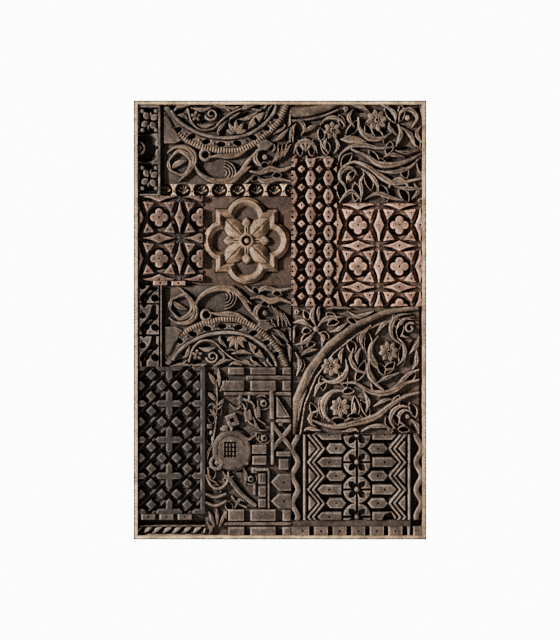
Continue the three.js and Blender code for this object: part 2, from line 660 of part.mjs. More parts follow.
function villageBlock(area) {
  const at = finder(area);
  const plate = (left, right, top, bottom, level = TOP) => raise([
    at(left, bottom), at(right, bottom), at(right, top), at(left, top),
  ], level);
  const dome = at(30.7, 49.5);
  const domeRadius = LEAF_WIDTH * 3.7;
  const pane = LEAF_WIDTH * 0.85;
  const windows = [-1, 1].flatMap((i) => [-1, 1].map(
    (j) => raise(box(point(dome.x + i * pane * 1.4, dome.y + j * pane * 1.4), pane, pane), HIGH),
  ));
  return [
    ...[[0.6, 4.4], [8.6, 14], [84.8, 91.5], [95.4, 99.6]].flatMap(([top, bottom]) => [
      plate(26, 45.3, top, bottom), plate(52.7, 82, top, bottom), plate(90.4, 99.6, top, bottom),
    ]),
    raise(box(at(31.3, 31.7), LEAF_WIDTH, LEAF_WIDTH, 0.35)),
    ...[[68.4, 21.8], [69, 42.4], [53.1, 66.6]].map(([across, down]) => raise(circle(at(across, down), 11, 8))),
    plate(75.5, 79.6, 16, 30),
    raise([at(83, 30), at(98, 30), at(83, 17)]),
    raise(stroke([at(80, 34), at(89, 41), at(98, 48)], STEM_WIDTH, STEM_WIDTH, 2)),
    raise(stroke([at(98, 34), at(89, 41), at(80, 48)], STEM_WIDTH, STEM_WIDTH, 2)),
    raise(arc(dome, domeRadius, STEM_WIDTH, -20, 200, 8)),
    ...windows,
    plate(55.1, 71.2, 48.4, 57.4),
    curl(at(13, 56), LEAF_WIDTH * 1.2, 0, 300),
    raise(stroke([at(2, 64), at(9, 71), at(22, 72)], STEM_WIDTH)),
    raise(stroke([at(2, 76), at(20, 77)], STEM_WIDTH)),
    raise(stroke([at(2, 81), at(20, 82)], STEM_WIDTH)),
    raise(stroke([at(27.7, 66), at(40.7, 73.6), at(57.2, 80)], STEM_WIDTH)),
    plate(63, 70, 64, 70), plate(63, 70, 72, 78), plate(63, 70, 80, 84),
    ...[[63.7, 73.4], [76.6, 84]].map(([top, bottom]) => raise([
      at(86, bottom), at(99.5, bottom), at(99.5, top), at(86, top), at(76.8, (top + bottom) / 2),
    ])),
    ...[[4, 3, 14, 13], [14, 2, 15, 14], [2, 14, 14, 22], [20, 17, 14, 23]].map(
      ([x0, y0, x1, y1]) => raise(leaf(at(x0, y0), at(x1, y1), LEAF_WIDTH, 2), HIGH),
    ),
    ...[[4, 86, 11, 97], [23, 86, 16, 97], [13, 83, 13.5, 96]].map(
      ([x0, y0, x1, y1]) => raise(leaf(at(x0, y0), at(x1, y1), LEAF_WIDTH, 2), HIGH),
    ),
  ];
}

function largeVineBlock(area) {
  const at = finder(area);
  const radius = (area.right - area.left) * 1.02;
  const flowers = [[30.4, 46.7], [76.7, 35.2], [38.8, 79.2]];
  const cornerLeaves = [
    [24, 16, 38, 6], [4, 12, 17, 2], [3, 26, 15, 16], [15, 32, 24, 22], [38, 17, 52, 4], [54, 8, 66, 2],
  ];
  return [
    raise(arc(at(100.8, 101.3), radius, BORDER_WIDTH * 1.9, 91, 178, 12), TOP),
    ...flowers.flatMap(([across, down]) => rosette(at(across, down), LEAF_WIDTH * 1.9)),
    ...flowers.map(([across, down]) => curl(at(across, down), LEAF_WIDTH * 2.75, -70, 190, RIB_WIDTH, HIGH)),
    ...cornerLeaves.map(([x0, y0, x1, y1]) => raise(leaf(at(x0, y0), at(x1, y1), LEAF_WIDTH * 1.3, 4), HIGH)),
    raise(stroke([at(100, 58), at(77.6, 69), at(59, 83), at(48, 88)], STEM_WIDTH, RIB_WIDTH), TOP),
    raise(stroke([at(100, 69), at(83, 73.4), at(70, 82), at(59, 92)], STEM_WIDTH, RIB_WIDTH), TOP),
    ...[[61.7, 61.2], [76, 65.1], [52.9, 59.7]].map(
      ([across, down]) => raise(leaf(at(across - 5, down + 2), at(across + 5, down - 3), LEAF_WIDTH), TOP),
    ),
    raise(leaf(at(23, 42), at(12, 62), LEAF_WIDTH * 0.8, 4), TOP),
    raise(leaf(at(10.5, 67), at(5, 88), LEAF_WIDTH * 0.8, 3), TOP),
    curl(at(90, 17), LEAF_WIDTH * 1.6, 0, 300, RIB_WIDTH, HIGH),
    curl(at(86, 90), LEAF_WIDTH * 1.6, 20, 320, RIB_WIDTH, HIGH),
    raise(leaf(at(86, 48), at(97, 40), LEAF_WIDTH * 1.3, 3), HIGH),
    raise(leaf(at(48, 36), at(62, 26), LEAF_WIDTH * 1.3, 3), HIGH),
    raise(leaf(at(50, 50), at(62, 44), LEAF_WIDTH, 3), HIGH),
    curl(at(25, 94), LEAF_WIDTH, 0, 200, RIB_WIDTH, HIGH),
    raise(leaf(at(11, 90), at(16, 72), LEAF_WIDTH, 3), HIGH),
  ];
}

function roundelBlock(area) {
  const middle = (area.left + area.right) / 2;
  const height = area.top - area.bottom;
  const rows = places(0, ROUNDEL_PITCH, height + ROUNDEL_RADIUS);
  const figures = [];
  for (const down of rows) {
    const center = point(middle, area.top - down);
    for (const quarter of [0, 90, 180, 270]) {
      const bisector = THREE.MathUtils.degToRad(quarter + 45);
      const corner = point(Math.cos(bisector), Math.sin(bisector)).multiplyScalar(ROUNDEL_SLOT).add(center);
      const rim = Array.from({ length: 4 }, (_, i) => {
        const angle = THREE.MathUtils.degToRad(quarter + 8 + (74 * i) / 3);
        return point(center.x + ROUNDEL_RADIUS * Math.cos(angle), center.y + ROUNDEL_RADIUS * Math.sin(angle));
      });
      const figure = [corner, ...rim];
      if (figure.some((p) => p.y > area.bottom && p.y < area.top)) {
        figures.push(raise(figure, HIGH));
      }
    }
  }
  for (const side of [-1, 1]) {
    const zigzag = [];
    for (let step = -1; step <= rows.length * 2; step += 1) {
      const offset = step % 2 === 0 ? ZIGZAG_FAR : ZIGZAG_NEAR;
      zigzag.push(point(middle + side * offset, area.top - (step * ROUNDEL_PITCH) / 2));
    }
    for (const shift of [-ZIGZAG_STEP / 2, ZIGZAG_STEP / 2]) {
      const inner = zigzag.map((p) => point(p.x + shift - RIB_WIDTH / 2, p.y));
      const outer = zigzag.map((p) => point(p.x + shift + RIB_WIDTH / 2, p.y));
      figures.push(raise([...inner, ...outer.reverse()], HIGH));
    }
    for (const down of rows) {
      const row = area.top - down;
      const between = row - ROUNDEL_PITCH / 2;
      const barHalf = HEX_BAR_HALF_WIDTH * 0.6;
      const barX = middle + side * HEX_BAR_OFFSET;
      if (between + HEX_BAR_HALF_HEIGHT > area.bottom) {
        figures.push(raise([
          point(barX - HEX_BAR_HALF_WIDTH, between),
          point(barX - barHalf, between - HEX_BAR_HALF_HEIGHT),
          point(barX + barHalf, between - HEX_BAR_HALF_HEIGHT),
          point(barX + HEX_BAR_HALF_WIDTH, between),
          point(barX + barHalf, between + HEX_BAR_HALF_HEIGHT),
          point(barX - barHalf, between + HEX_BAR_HALF_HEIGHT),
        ]));
      }
      const half = HEX_BAR_HALF_HEIGHT;
      figures.push(raise([
        point(middle + side * ARROW_END, row - half * 0.5),
        point(middle + side * (ARROW_TIP - 2 * half), row - half),
        point(middle + side * ARROW_TIP, row),
        point(middle + side * (ARROW_TIP - 2 * half), row + half),
        point(middle + side * ARROW_END, row + half * 0.5),
      ]));
      const edge = middle + side * (SIDE_BAR_OFFSET - ZIGZAG_STEP);
      figures.push(raise([
        point(edge, between - ROUNDEL_PITCH * 0.28), point(edge, between + ROUNDEL_PITCH * 0.28),
        point(middle + side * (ZIGZAG_NEAR + ZIGZAG_STEP * 1.4), between),
      ]));
      const border = side < 0 ? area.left : area.right;
      figures.push(raise(circle(point(border, between), ROUNDEL_PITCH * 0.36, 8), HIGH));
    }
    figures.push(raise(rectangle({
      left: middle + side * SIDE_BAR_OFFSET - RIB_WIDTH / 2,
      right: middle + side * SIDE_BAR_OFFSET + RIB_WIDTH / 2,
      top: area.top,
      bottom: area.bottom,
    })));
  }
  return figures;
}

function dentilStrip(area) {
  const length = area.right - area.left;
  const slots = places(DENTIL_FIRST, DENTIL_PITCH, length - DENTIL_SLOT);
  const starts = [0, ...slots.map((slot) => slot + DENTIL_SLOT / 2)];
  const ends = [...slots.map((slot) => slot - DENTIL_SLOT / 2), length];
  return starts.map((start, i) => raise(rectangle({
    left: area.left + start, right: area.left + ends[i], top: area.top, bottom: area.bottom,
  })));
}

// The vine block's outline steps back at its lower left, around the hexagon block
function vineOutline() {
  const area = areas.vine_block;
  const half = JOINT_GAP / 2;
  return [
    point(hexagonLine + half, area.bottom),
    point(area.right, area.bottom),
    point(area.right, area.top),
    point(area.left, area.top),
    point(area.left, notchLine + half),
    point(hexagonLine + half, notchLine + half),
  ];
}

const blocks = {
  flower_strip: [flowerStrip(areas.flower_strip), RED_WOOD],
  upper_arch_block: [archBlock(areas.upper_arch_block, false), DARK_WOOD],
  scallop_strip: [scallopStrip(areas.scallop_strip), LIGHT_WOOD],
  upper_tile_strip: [tileStrip(areas.upper_tile_strip, UPPER_TILE_FIRST), RED_WOOD],
  quatrefoil_block: [quatrefoilBlock(areas.quatrefoil_block), RED_WOOD],
  hexagon_block: [hexagonBlock(areas.hexagon_block), RED_WOOD],
  leaf_strip: [leafStrip(areas.leaf_strip), RED_WOOD],
  lower_arch_block: [archBlock(areas.lower_arch_block, true), DARK_WOOD],
  peg_block: [pegBlock(areas.peg_block), DARK_WOOD],
  lower_tile_strip: [tileStrip(areas.lower_tile_strip, LOWER_TILE_FIRST), RED_WOOD],
  rope_strip: [ropeStrip(areas.rope_strip), DARK_WOOD],
  village_block: [villageBlock(areas.village_block), DARK_WOOD],
  large_vine_block: [largeVineBlock(areas.large_vine_block), DARK_WOOD],
  roundel_block: [roundelBlock(areas.roundel_block), DARK_WOOD],
  dentil_strip: [dentilStrip(areas.dentil_strip), DARK_WOOD],
};

const panel = new THREE.Group();
const blockLayer = new THREE.Group();
blockLayer.position.z = BOARD_THICKNESS + SEAT_GAP;
panel.add(blockLayer);

function place(group, name, solid, color) {
  const material = new THREE.MeshStandardMaterial({ color, roughness: 0.85, metalness: 0 });
  const mesh = new THREE.Mesh(toGeometry(solid), material);
  mesh.name = name;
  group.add(mesh);
}

for (const [name, [figures, color]] of Object.entries(blocks)) {
  place(blockLayer, name, carve(rectangle(areas[name]), figures), color);
}
place(blockLayer, 'left_lattice_block', latticeBlock(areas.left_lattice_block), RED_WOOD);
place(blockLayer, 'right_lattice_block', latticeBlock(areas.right_lattice_block), RED_WOOD);
place(blockLayer, 'vine_block', carve(vineOutline(), vineBlock(areas.vine_block)), DARK_WOOD);
place(blockLayer, 'plain_strip', prism(rectangle(areas.plain_strip), 0, PLAIN_STRIP_DEPTH), LIGHT_WOOD);

// Backing board, inside the frame
const board = {
  left: opening.left + SEAT_GAP,
  right: opening.right - SEAT_GAP,
  top: opening.top - SEAT_GAP,
  bottom: opening.bottom + SEAT_GAP,
};
place(panel, 'backing_board', prism(rectangle(board), 0, BOARD_THICKNESS), BOARD_WOOD);

// Frame laths: a chamfered section pushed along the side and cut to a mitre at both ends
function frameLath(length) {
  const section = new THREE.Shape([
    point(0, 0),
    point(FRAME_FACE, 0),
    point(FRAME_FACE, FRAME_DEPTH),
    point(FRAME_CHAMFER, FRAME_DEPTH),
    point(0, FRAME_DEPTH - FRAME_CHAMFER),
  ]);
  const geometry = new THREE.ExtrudeGeometry(section, { depth: length, bevelEnabled: false });
  geometry.translate(0, 0, -length / 2);
  geometry.rotateX(Math.PI / 2);
  return toSolid(geometry);
}

function frameSide(name, length, degrees, offset) {
  const half = length / 2 - MITRE_GAP / Math.SQRT2;
  const over = 1;
  const reach = FRAME_FACE + over;
  const keep = prism([
    point(-over, -half - over),
    point(reach, -half + reach),
    point(reach, half - reach),
    point(-over, half + over),
  ], -over, FRAME_DEPTH + over);
  const solid = frameLath(length).intersect(keep).rotate([0, 0, degrees]);
  place(panel, name, solid.translate([offset.x, offset.y, 0]), LIGHT_WOOD);
}

frameSide('frame_left', PANEL_HEIGHT, 0, point(-PANEL_WIDTH / 2, 0));
frameSide('frame_right', PANEL_HEIGHT, 180, point(PANEL_WIDTH / 2, 0));
frameSide('frame_top', PANEL_WIDTH, -90, point(0, PANEL_HEIGHT / 2));
frameSide('frame_bottom', PANEL_WIDTH, 90, point(0, -PANEL_HEIGHT / 2));

// Stand the panel up, with its front to -Y
panel.rotation.x = Math.PI / 2;

export default panel;
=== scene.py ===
"""A wall panel of carved wooden blocks, dressed over its fixed frame."""
import math
from collections import namedtuple

import bpy
import numpy as np
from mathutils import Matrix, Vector


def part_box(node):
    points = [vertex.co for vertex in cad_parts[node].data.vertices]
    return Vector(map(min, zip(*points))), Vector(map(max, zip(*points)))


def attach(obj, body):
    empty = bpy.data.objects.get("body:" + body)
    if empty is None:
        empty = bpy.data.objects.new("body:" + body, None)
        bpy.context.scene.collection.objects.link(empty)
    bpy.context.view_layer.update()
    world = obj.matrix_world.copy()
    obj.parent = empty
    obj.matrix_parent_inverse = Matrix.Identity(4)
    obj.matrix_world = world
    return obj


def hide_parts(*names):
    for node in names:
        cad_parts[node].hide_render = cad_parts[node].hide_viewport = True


bl_info = {
    "name": "Carved block wall panel",
    "version": (1, 0, 0),
    "blender": (4, 5, 0),
    "location": "3D View > Sidebar > Wall panel",
    "description": "Carves the blocks of a framed wall panel and sets up its studio",
    "category": "Object",
}

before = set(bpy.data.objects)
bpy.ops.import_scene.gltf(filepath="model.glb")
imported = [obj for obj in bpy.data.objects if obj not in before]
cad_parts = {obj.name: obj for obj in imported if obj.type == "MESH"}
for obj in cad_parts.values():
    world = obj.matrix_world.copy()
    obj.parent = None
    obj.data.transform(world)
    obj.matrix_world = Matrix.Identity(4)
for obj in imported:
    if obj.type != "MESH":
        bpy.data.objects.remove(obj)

# Lengths in the designs are in millimetres. Levels go from 0 at the deepest ground to 1 on the flat tops.
MM = 0.001
RELIEF = 21.0             # depth of the carving
JOINT_GAP = 1.0           # between neighbouring blocks
WALL = 2.6                # how far a flat top's steep side reaches outwards
EDGE_WEAR = 0.06          # how much lower a flat top is at its very edge
EDGE_WEAR_WIDTH = 1.6
ROUND_FOOT = 0.58         # where a rounded form meets its side, as a share of its height
FOLD_FOOT = 0.5           # the same for a folded petal
GROOVE_SLOPE = 1.6        # from a groove's edge to its full depth
MARGIN = 4.0              # how far past its outline a figure can change the surface
HAND_WAVE = 0.035         # depth of the waviness of hand-cut wood
SCROLL_GROUND = 0.34      # level of the ground in the arch, vine and village blocks
MOULDING_WIDTH = 26.0     # of the quatrefoil block
MOULDING_OUTER = 11.0     # width of that moulding's outer slope
MOULDING_INNER = 14.0     # and of its inner slope
BASIN_LEVEL = 0.26        # of the floor inside that moulding
# inside(x, y) gives how far inside each point is, and how far along the shape, or None for the second
Shape = namedtuple("Shape", "low high inside")
Figure = namedtuple("Figure", "shape kind level reach")


def direction(degrees):
    """The cosine and sine of an angle in degrees."""
    return math.cos(math.radians(degrees)), math.sin(math.radians(degrees))


def disc(cx, cy, radius):
    return Shape((cx - radius, cy - radius), (cx + radius, cy + radius),
                 lambda x, y: (radius - np.hypot(x - cx, y - cy), None))


def oval(cx, cy, long_half, short_half, turn=0.0):
    cos, sin = direction(turn)

    def inside(x, y):
        u = ((x - cx) * cos + (y - cy) * sin) / long_half
        v = ((y - cy) * cos - (x - cx) * sin) / short_half
        reach = np.hypot(u, v)
        return (1.0 - reach) * np.minimum(long_half, short_half) * (0.6 + 0.4 * np.minimum(reach, 1.0)), None

    r = max(long_half, short_half)
    return Shape((cx - r, cy - r), (cx + r, cy + r), inside)


def ring(cx, cy, radius, width):
    r = radius + width / 2
    return Shape((cx - r, cy - r), (cx + r, cy + r),
                 lambda x, y: (width / 2 - np.abs(np.hypot(x - cx, y - cy) - radius), None))


def box(cx, cy, half_x, half_y, turn=0.0):
    cos, sin = direction(turn)

    def inside(x, y):
        u = np.abs((x - cx) * cos + (y - cy) * sin) - half_x
        v = np.abs((y - cy) * cos - (x - cx) * sin) - half_y
        out = np.hypot(np.maximum(u, 0), np.maximum(v, 0))
        return np.where((u > 0) | (v > 0), -out, np.minimum(-u, -v)), None

    r = math.hypot(half_x, half_y)
    return Shape((cx - r, cy - r), (cx + r, cy + r), inside)


def span(left, top, right, bottom):
    return box((left + right) / 2, (top + bottom) / 2, abs(right - left) / 2, abs(bottom - top) / 2)


def polygon(points):
    points = [tuple(map(float, p)) for p in points]
    xs, ys = [p[0] for p in points], [p[1] for p in points]

    def inside(x, y):
        best = np.full(x.shape, 1e9)
        within = np.zeros(x.shape, bool)
        for (ax, ay), (bx, by) in zip(points, points[1:] + points[:1]):
            dx, dy = bx - ax, by - ay
            t = np.clip(((x - ax) * dx + (y - ay) * dy) / (dx * dx + dy * dy + 1e-9), 0, 1)
            best = np.minimum(best, np.hypot(x - ax - t * dx, y - ay - t * dy))
            if ay != by:
                crosses = (ay > y) != (by > y)
                within ^= crosses & (x < ax + (y - ay) * dx / dy)
        return np.where(within, best, -best), None

    return Shape((min(xs), min(ys)), (max(xs), max(ys)), inside)


def smooth_path(points, per_span=6):
    """A Catmull-Rom curve through the points."""
    pts = [np.array(p, float) for p in points]
    if len(pts) == 2:
        return [pts[0] + (pts[1] - pts[0]) * i / 3 for i in range(4)]
    ends = [2 * pts[0] - pts[1]] + pts + [2 * pts[-1] - pts[-2]]
    path = []
    for a, b, c, d in zip(ends, ends[1:], ends[2:], ends[3:]):
        for i in range(per_span):
            t = i / per_span
            path.append(0.5 * (2 * b + (c - a) * t + (2 * a - 5 * b + 4 * c - d) * t * t
                               + (3 * b - 3 * c + d - a) * t ** 3))
    return path + [pts[-1]]


def stroke(points, start, end=None, middle=None, per_span=6, smooth=True):
    """A line along a smooth curve; its width goes from start by way of middle to end."""
    end = start if end is None else end
    middle = (start + end) / 2 if middle is None else middle
    path = smooth_path(points, per_span) if smooth else [np.array(p, float) for p in points]
    steps = [math.dist(a, b) for a, b in zip(path, path[1:])]
    length = sum(steps) or 1.0
    along = np.concatenate([[0.0], np.cumsum(steps)])
    share = along / length
    half = np.where(share < 0.5, start + (middle - start) * share * 2,
                    middle + (end - middle) * (share * 2 - 1)) / 2
    pad = max(start, end, middle) / 2
    xs, ys = [p[0] for p in path], [p[1] for p in path]

    def inside(x, y):
        best = np.full(x.shape, -1e9)
        far = np.zeros(x.shape)
        for i, (a, b) in enumerate(zip(path, path[1:])):
            dx, dy = b[0] - a[0], b[1] - a[1]
            t = np.clip(((x - a[0]) * dx + (y - a[1]) * dy) / (dx * dx + dy * dy + 1e-9), 0, 1)
            away = half[i] + (half[i + 1] - half[i]) * t - np.hypot(x - a[0] - t * dx, y - a[1] - t * dy)
            better = away > best
            best = np.where(better, away, best)
            far = np.where(better, along[i] + t * steps[i], far)
        return best, far

    return Shape((min(xs) - pad, min(ys) - pad), (max(xs) + pad, max(ys) + pad), inside)


def arc(cx, cy, radius, start, end, width, end_width=None, middle=None):
    """Part of a ring; angles in degrees, 0 to the right and 90 upwards."""
    count = max(6, int(abs(end - start) / 18))
    points = []
    for i in range(count + 1):
        angle = math.radians(start + (end - start) * i / count)
        points.append((cx + radius * math.cos(angle), cy - radius * math.sin(angle)))
    return stroke(points, width, end_width, middle, smooth=False)


def spiral(cx, cy, outer, inner, start, turns, width, end_width):
    count = max(8, int(turns * 20))
    points = []
    for i in range(count + 1):
        share = i / count
        radius = outer + (inner - outer) * share
        angle = math.radians(start + 360 * turns * share)
        points.append((cx + radius * math.cos(angle), cy - radius * math.sin(angle)))
    return stroke(points, width, end_width, smooth=False)


def leaf(base, tip, width, bow=0.0):
    """A leaf pointed at both ends, bowed to its left when bow is positive."""
    bx, by = base
    tx, ty = tip
    length = math.dist(base, tip) or 1.0
    ux, uy = (tx - bx) / length, (ty - by) / length

    def inside(x, y):
        u = ((x - bx) * ux + (y - by) * uy) / length
        v = (x - bx) * uy - (y - by) * ux
        v = v - bow * 4 * u * (1 - u)
        curve = width * 2 * u * (1 - u)
        slope = np.clip(np.abs(width * 2 * (1 - 2 * u)) / length, 0, 3)
        near = (curve - np.abs(v)) / np.sqrt(1 + slope * slope)
        past = np.maximum(-u, u - 1) * length
        return np.where(past > 0, -np.hypot(past, np.abs(v)), near), u * length

    pad = width / 2 + abs(bow)
    return Shape((min(bx, tx) - pad, min(by, ty) - pad),
                 (max(bx, tx) + pad, max(by, ty) + pad), inside)


def midline(base, tip, bow=0.0, start=0.08, end=0.92):
    """Points along a leaf's middle."""
    length = math.dist(base, tip) or 1.0
    ux, uy = (tip[0] - base[0]) / length, (tip[1] - base[1]) / length
    points = []
    for share in (start, start + (end - start) / 3, start + 2 * (end - start) / 3, end):
        side = bow * 4 * share * (1 - share)
        points.append((base[0] + ux * length * share + uy * side, base[1] + uy * length * share - ux * side))
    return points


class Design:
    """The figures of one carved face, in the order in which they are laid."""

    def __init__(self, width, height, upside_down=False):
        self.width, self.height, self.upside_down = width, height, upside_down
        self.figures = []

    def at(self, across, down):
        """A point from hundredths of the face's width and height."""
        if self.upside_down:
            down = 100 - down
        return (self.width * across / 100, self.height * down / 100)

    def pts(self, pairs):
        return [self.at(*p) for p in pairs]

    def flat(self, shape, level=1.0, wall=WALL):
        """A flat top with steep sides."""
        self.figures.append(Figure(shape, "flat", level, wall))

    def face(self, level=1.0):
        """The uncut face of the block, into which other figures are sunk."""
        self.flat(span(-5, -5, self.width + 5, self.height + 5), level)

    def ground(self, level):
        """A low level ground over the whole face."""
        whole = Shape((0, 0), (self.width, self.height), lambda x, y: (np.full(x.shape, 50.0), None))
        self.figures.append(Figure(whole, "ground", level, 0))

    def round(self, shape, level=0.9, reach=5.0):
        """A form that rounds over within reach of its edge."""
        self.figures.append(Figure(shape, "round", level, reach))

    def sink(self, shape, level=0.0, wall=WALL):
        self.figures.append(Figure(shape, "sink", level, wall))

    def groove(self, shape, depth=0.2):
        self.figures.append(Figure(shape, "groove", depth, 0))

    def ribbed(self, shape, depth, pitch):
        """Ribs across a shape, a pitch apart."""
        self.figures.append(Figure(shape, "ribbed", depth, pitch))

    def nail(self, x, y, radius=1.7):
        """The small hole of a pin."""
        self.figures.append(Figure(disc(x, y, radius), "sink", 0.62, 1.4))

    def veined(self, base, tip, width, bow=0.0, level=0.9):
        """A leaf, with a vein where it is wide enough for one."""
        self.round(leaf(base, tip, width, bow), level, min(width * 0.3, 3.8))
        if width > 9:
            self.groove(stroke(midline(base, tip, bow), 2.6, 1.6), 0.25)

    def crescent(self, points, width, level=0.97, tip=3.0):
        """A stem that swells in the middle and has a fold along it."""
        self.round(stroke(points, tip, tip, width * 1.15), level, width * 0.28)
        self.groove(stroke(points, 1.0, 1.0, 3.4), 0.16)

    def stem(self, pairs, width, level=0.97, tip=3.0):
        """A crescent through points in hundredths of the face."""
        self.crescent(self.pts(pairs), width, level, tip)

    def hook(self, across, down, radius, start, end, width, level=0.97):
        """A crescent bent round a point; angles in degrees, 0 to the right and 90 upwards."""
        x, y = self.at(across, down)
        flip = -1 if self.upside_down else 1
        points = []
        for i in range(5):
            angle = math.radians(start + (end - start) * i / 4) * flip
            points.append((x + radius * math.cos(angle), y - radius * math.sin(angle)))
        self.crescent(points, width, level)

    def hollow(self, first, second, width):
        """A deep drop-shaped hole inside a raised rim."""
        (x1, y1), (x2, y2) = self.at(*first), self.at(*second)
        length = math.hypot(x2 - x1, y2 - y1)
        rim = 5
        dx, dy = rim * (x2 - x1) / length, rim * (y2 - y1) / length
        outer = leaf((x1 - dx, y1 - dy), (x2 + dx, y2 + dy), width * 1.25 + 2 * rim, width * 0.2)
        self.round(outer, 0.9, 4.0)
        self.sink(leaf((x1, y1), (x2, y2), width * 1.25, width * 0.2), 0.0, 2.0)

    def petals(self, cx, cy, radius, count, turn, hub, width=0.62, level=0.95):
        """A flower; hub and width are shares of its radius."""
        for i in range(count):
            cos, sin = direction(turn + 360 * i / count)
            base = (cx + radius * 0.18 * cos, cy - radius * 0.18 * sin)
            tip = (cx + radius * 1.06 * cos, cy - radius * 1.06 * sin)
            self.round(leaf(base, tip, radius * width * 1.15), level, radius * 0.2)
            self.groove(stroke([(cx + radius * 0.4 * cos, cy - radius * 0.4 * sin), tip], 2.4, 1.0), 0.18)
        self.flat(disc(cx, cy, radius * hub), 1.0, 2.0)
        self.sink(disc(cx, cy, radius * hub * 0.45), 0.5, 1.5)


def evaluate(figures, x, y):
    """Each point's level, how far inside a figure it is, and how rounded the surface is there."""
    level = np.zeros(x.shape)
    rounded = np.zeros(x.shape)
    edge = np.full(x.shape, -60.0)
    for shape, kind, height, reach in figures:
        near = np.flatnonzero((x > shape.low[0] - MARGIN) & (x < shape.high[0] + MARGIN)
                              & (y > shape.low[1] - MARGIN) & (y < shape.high[1] + MARGIN))
        if not near.size:
            continue
        inside, along = shape.inside(x[near], y[near])
        was = level[near]
        if kind == "flat":
            worn = 1 - EDGE_WEAR * np.exp(-np.maximum(inside, 0) / EDGE_WEAR_WIDTH)
            level[near] = np.maximum(was, height * worn * np.clip(1 + inside / reach, 0, 1))
            edge[near] = np.maximum(edge[near], inside)
            rounded[near] = np.where(inside > 0, 0.0, rounded[near])
        elif kind == "round":
            foot = ROUND_FOOT * height
            bulge = np.clip(1 - (1 - np.clip(inside / reach, 0, 1)) ** 2, 0, 1)
            swell = foot + (height - foot) * np.sqrt(bulge)
            side = foot * np.clip(1 + inside / (0.6 * WALL), 0, 1)
            level[near] = np.maximum(was, np.where(inside > 0, swell, side))
            if height > 0.6:    # low ribs don't pull the mesh onto their outline
                edge[near] = np.maximum(edge[near], inside)
            rounded[near] = np.maximum(rounded[near], np.clip(inside / 2, 0, 1) * (swell > was))
        elif kind == "folded":
            ridge = height * (FOLD_FOOT + (1 - FOLD_FOOT) * np.clip(inside / reach, 0, 1) ** 0.9)
            side = height * FOLD_FOOT * np.clip(1 + inside / WALL, 0, 1)
            level[near] = np.maximum(was, np.where(inside > 0, ridge, side))
            edge[near] = np.maximum(edge[near], inside)
            rounded[near] = np.where(inside > 0, 1.0, rounded[near])
        elif kind == "sink":
            wall = height + np.maximum(-inside, 0) / reach
            level[near] = np.minimum(was, wall)
            edge[near] = np.minimum(edge[near], -inside)
        elif kind == "groove":
            level[near] = was - height * np.clip(inside / GROOVE_SLOPE, 0, 1)
        elif kind == "ribbed":
            wave = 0.5 - 0.5 * np.cos(2 * np.pi * along / reach)
            level[near] = np.where(inside > 0, was - height * wave * np.clip(inside / 2, 0, 1), was)
        elif kind == "ground":
            level[near] = np.maximum(was, height)
        elif kind == "moulding":
            outer = np.clip(inside / MOULDING_OUTER, 0, 1) ** 0.8
            inner = np.clip((reach - inside) / MOULDING_INNER, 0, 1) ** 0.8
            roll = np.where(inside < reach / 2, height + (1 - height) * outer,
                            BASIN_LEVEL + (1 - BASIN_LEVEL) * inner)
            hollow = 0.14 * np.exp(-((inside - 7.0) / 1.5) ** 2)
            band = (inside > 0) & (inside < reach)
            level[near] = np.where(band, roll - hollow, was)
            rounded[near] = np.where(band, 1.0, rounded[near])
        elif kind == "basin":
            level[near] = np.where(inside > 0, height, was)
            rounded[near] = np.where(inside > 0, 0.0, rounded[near])
    return np.clip(level, -0.15, 1.0), edge, rounded


def coverage(figures, x, y):
    """How far inside any raised figure each point is; negative on bare ground."""
    cover = np.full(x.shape, -80.0)
    for shape, kind, _, _ in figures:
        if kind not in ("flat", "round", "folded"):
            continue
        inside, _ = shape.inside(x, y)
        cover = np.maximum(cover, inside)
    return cover


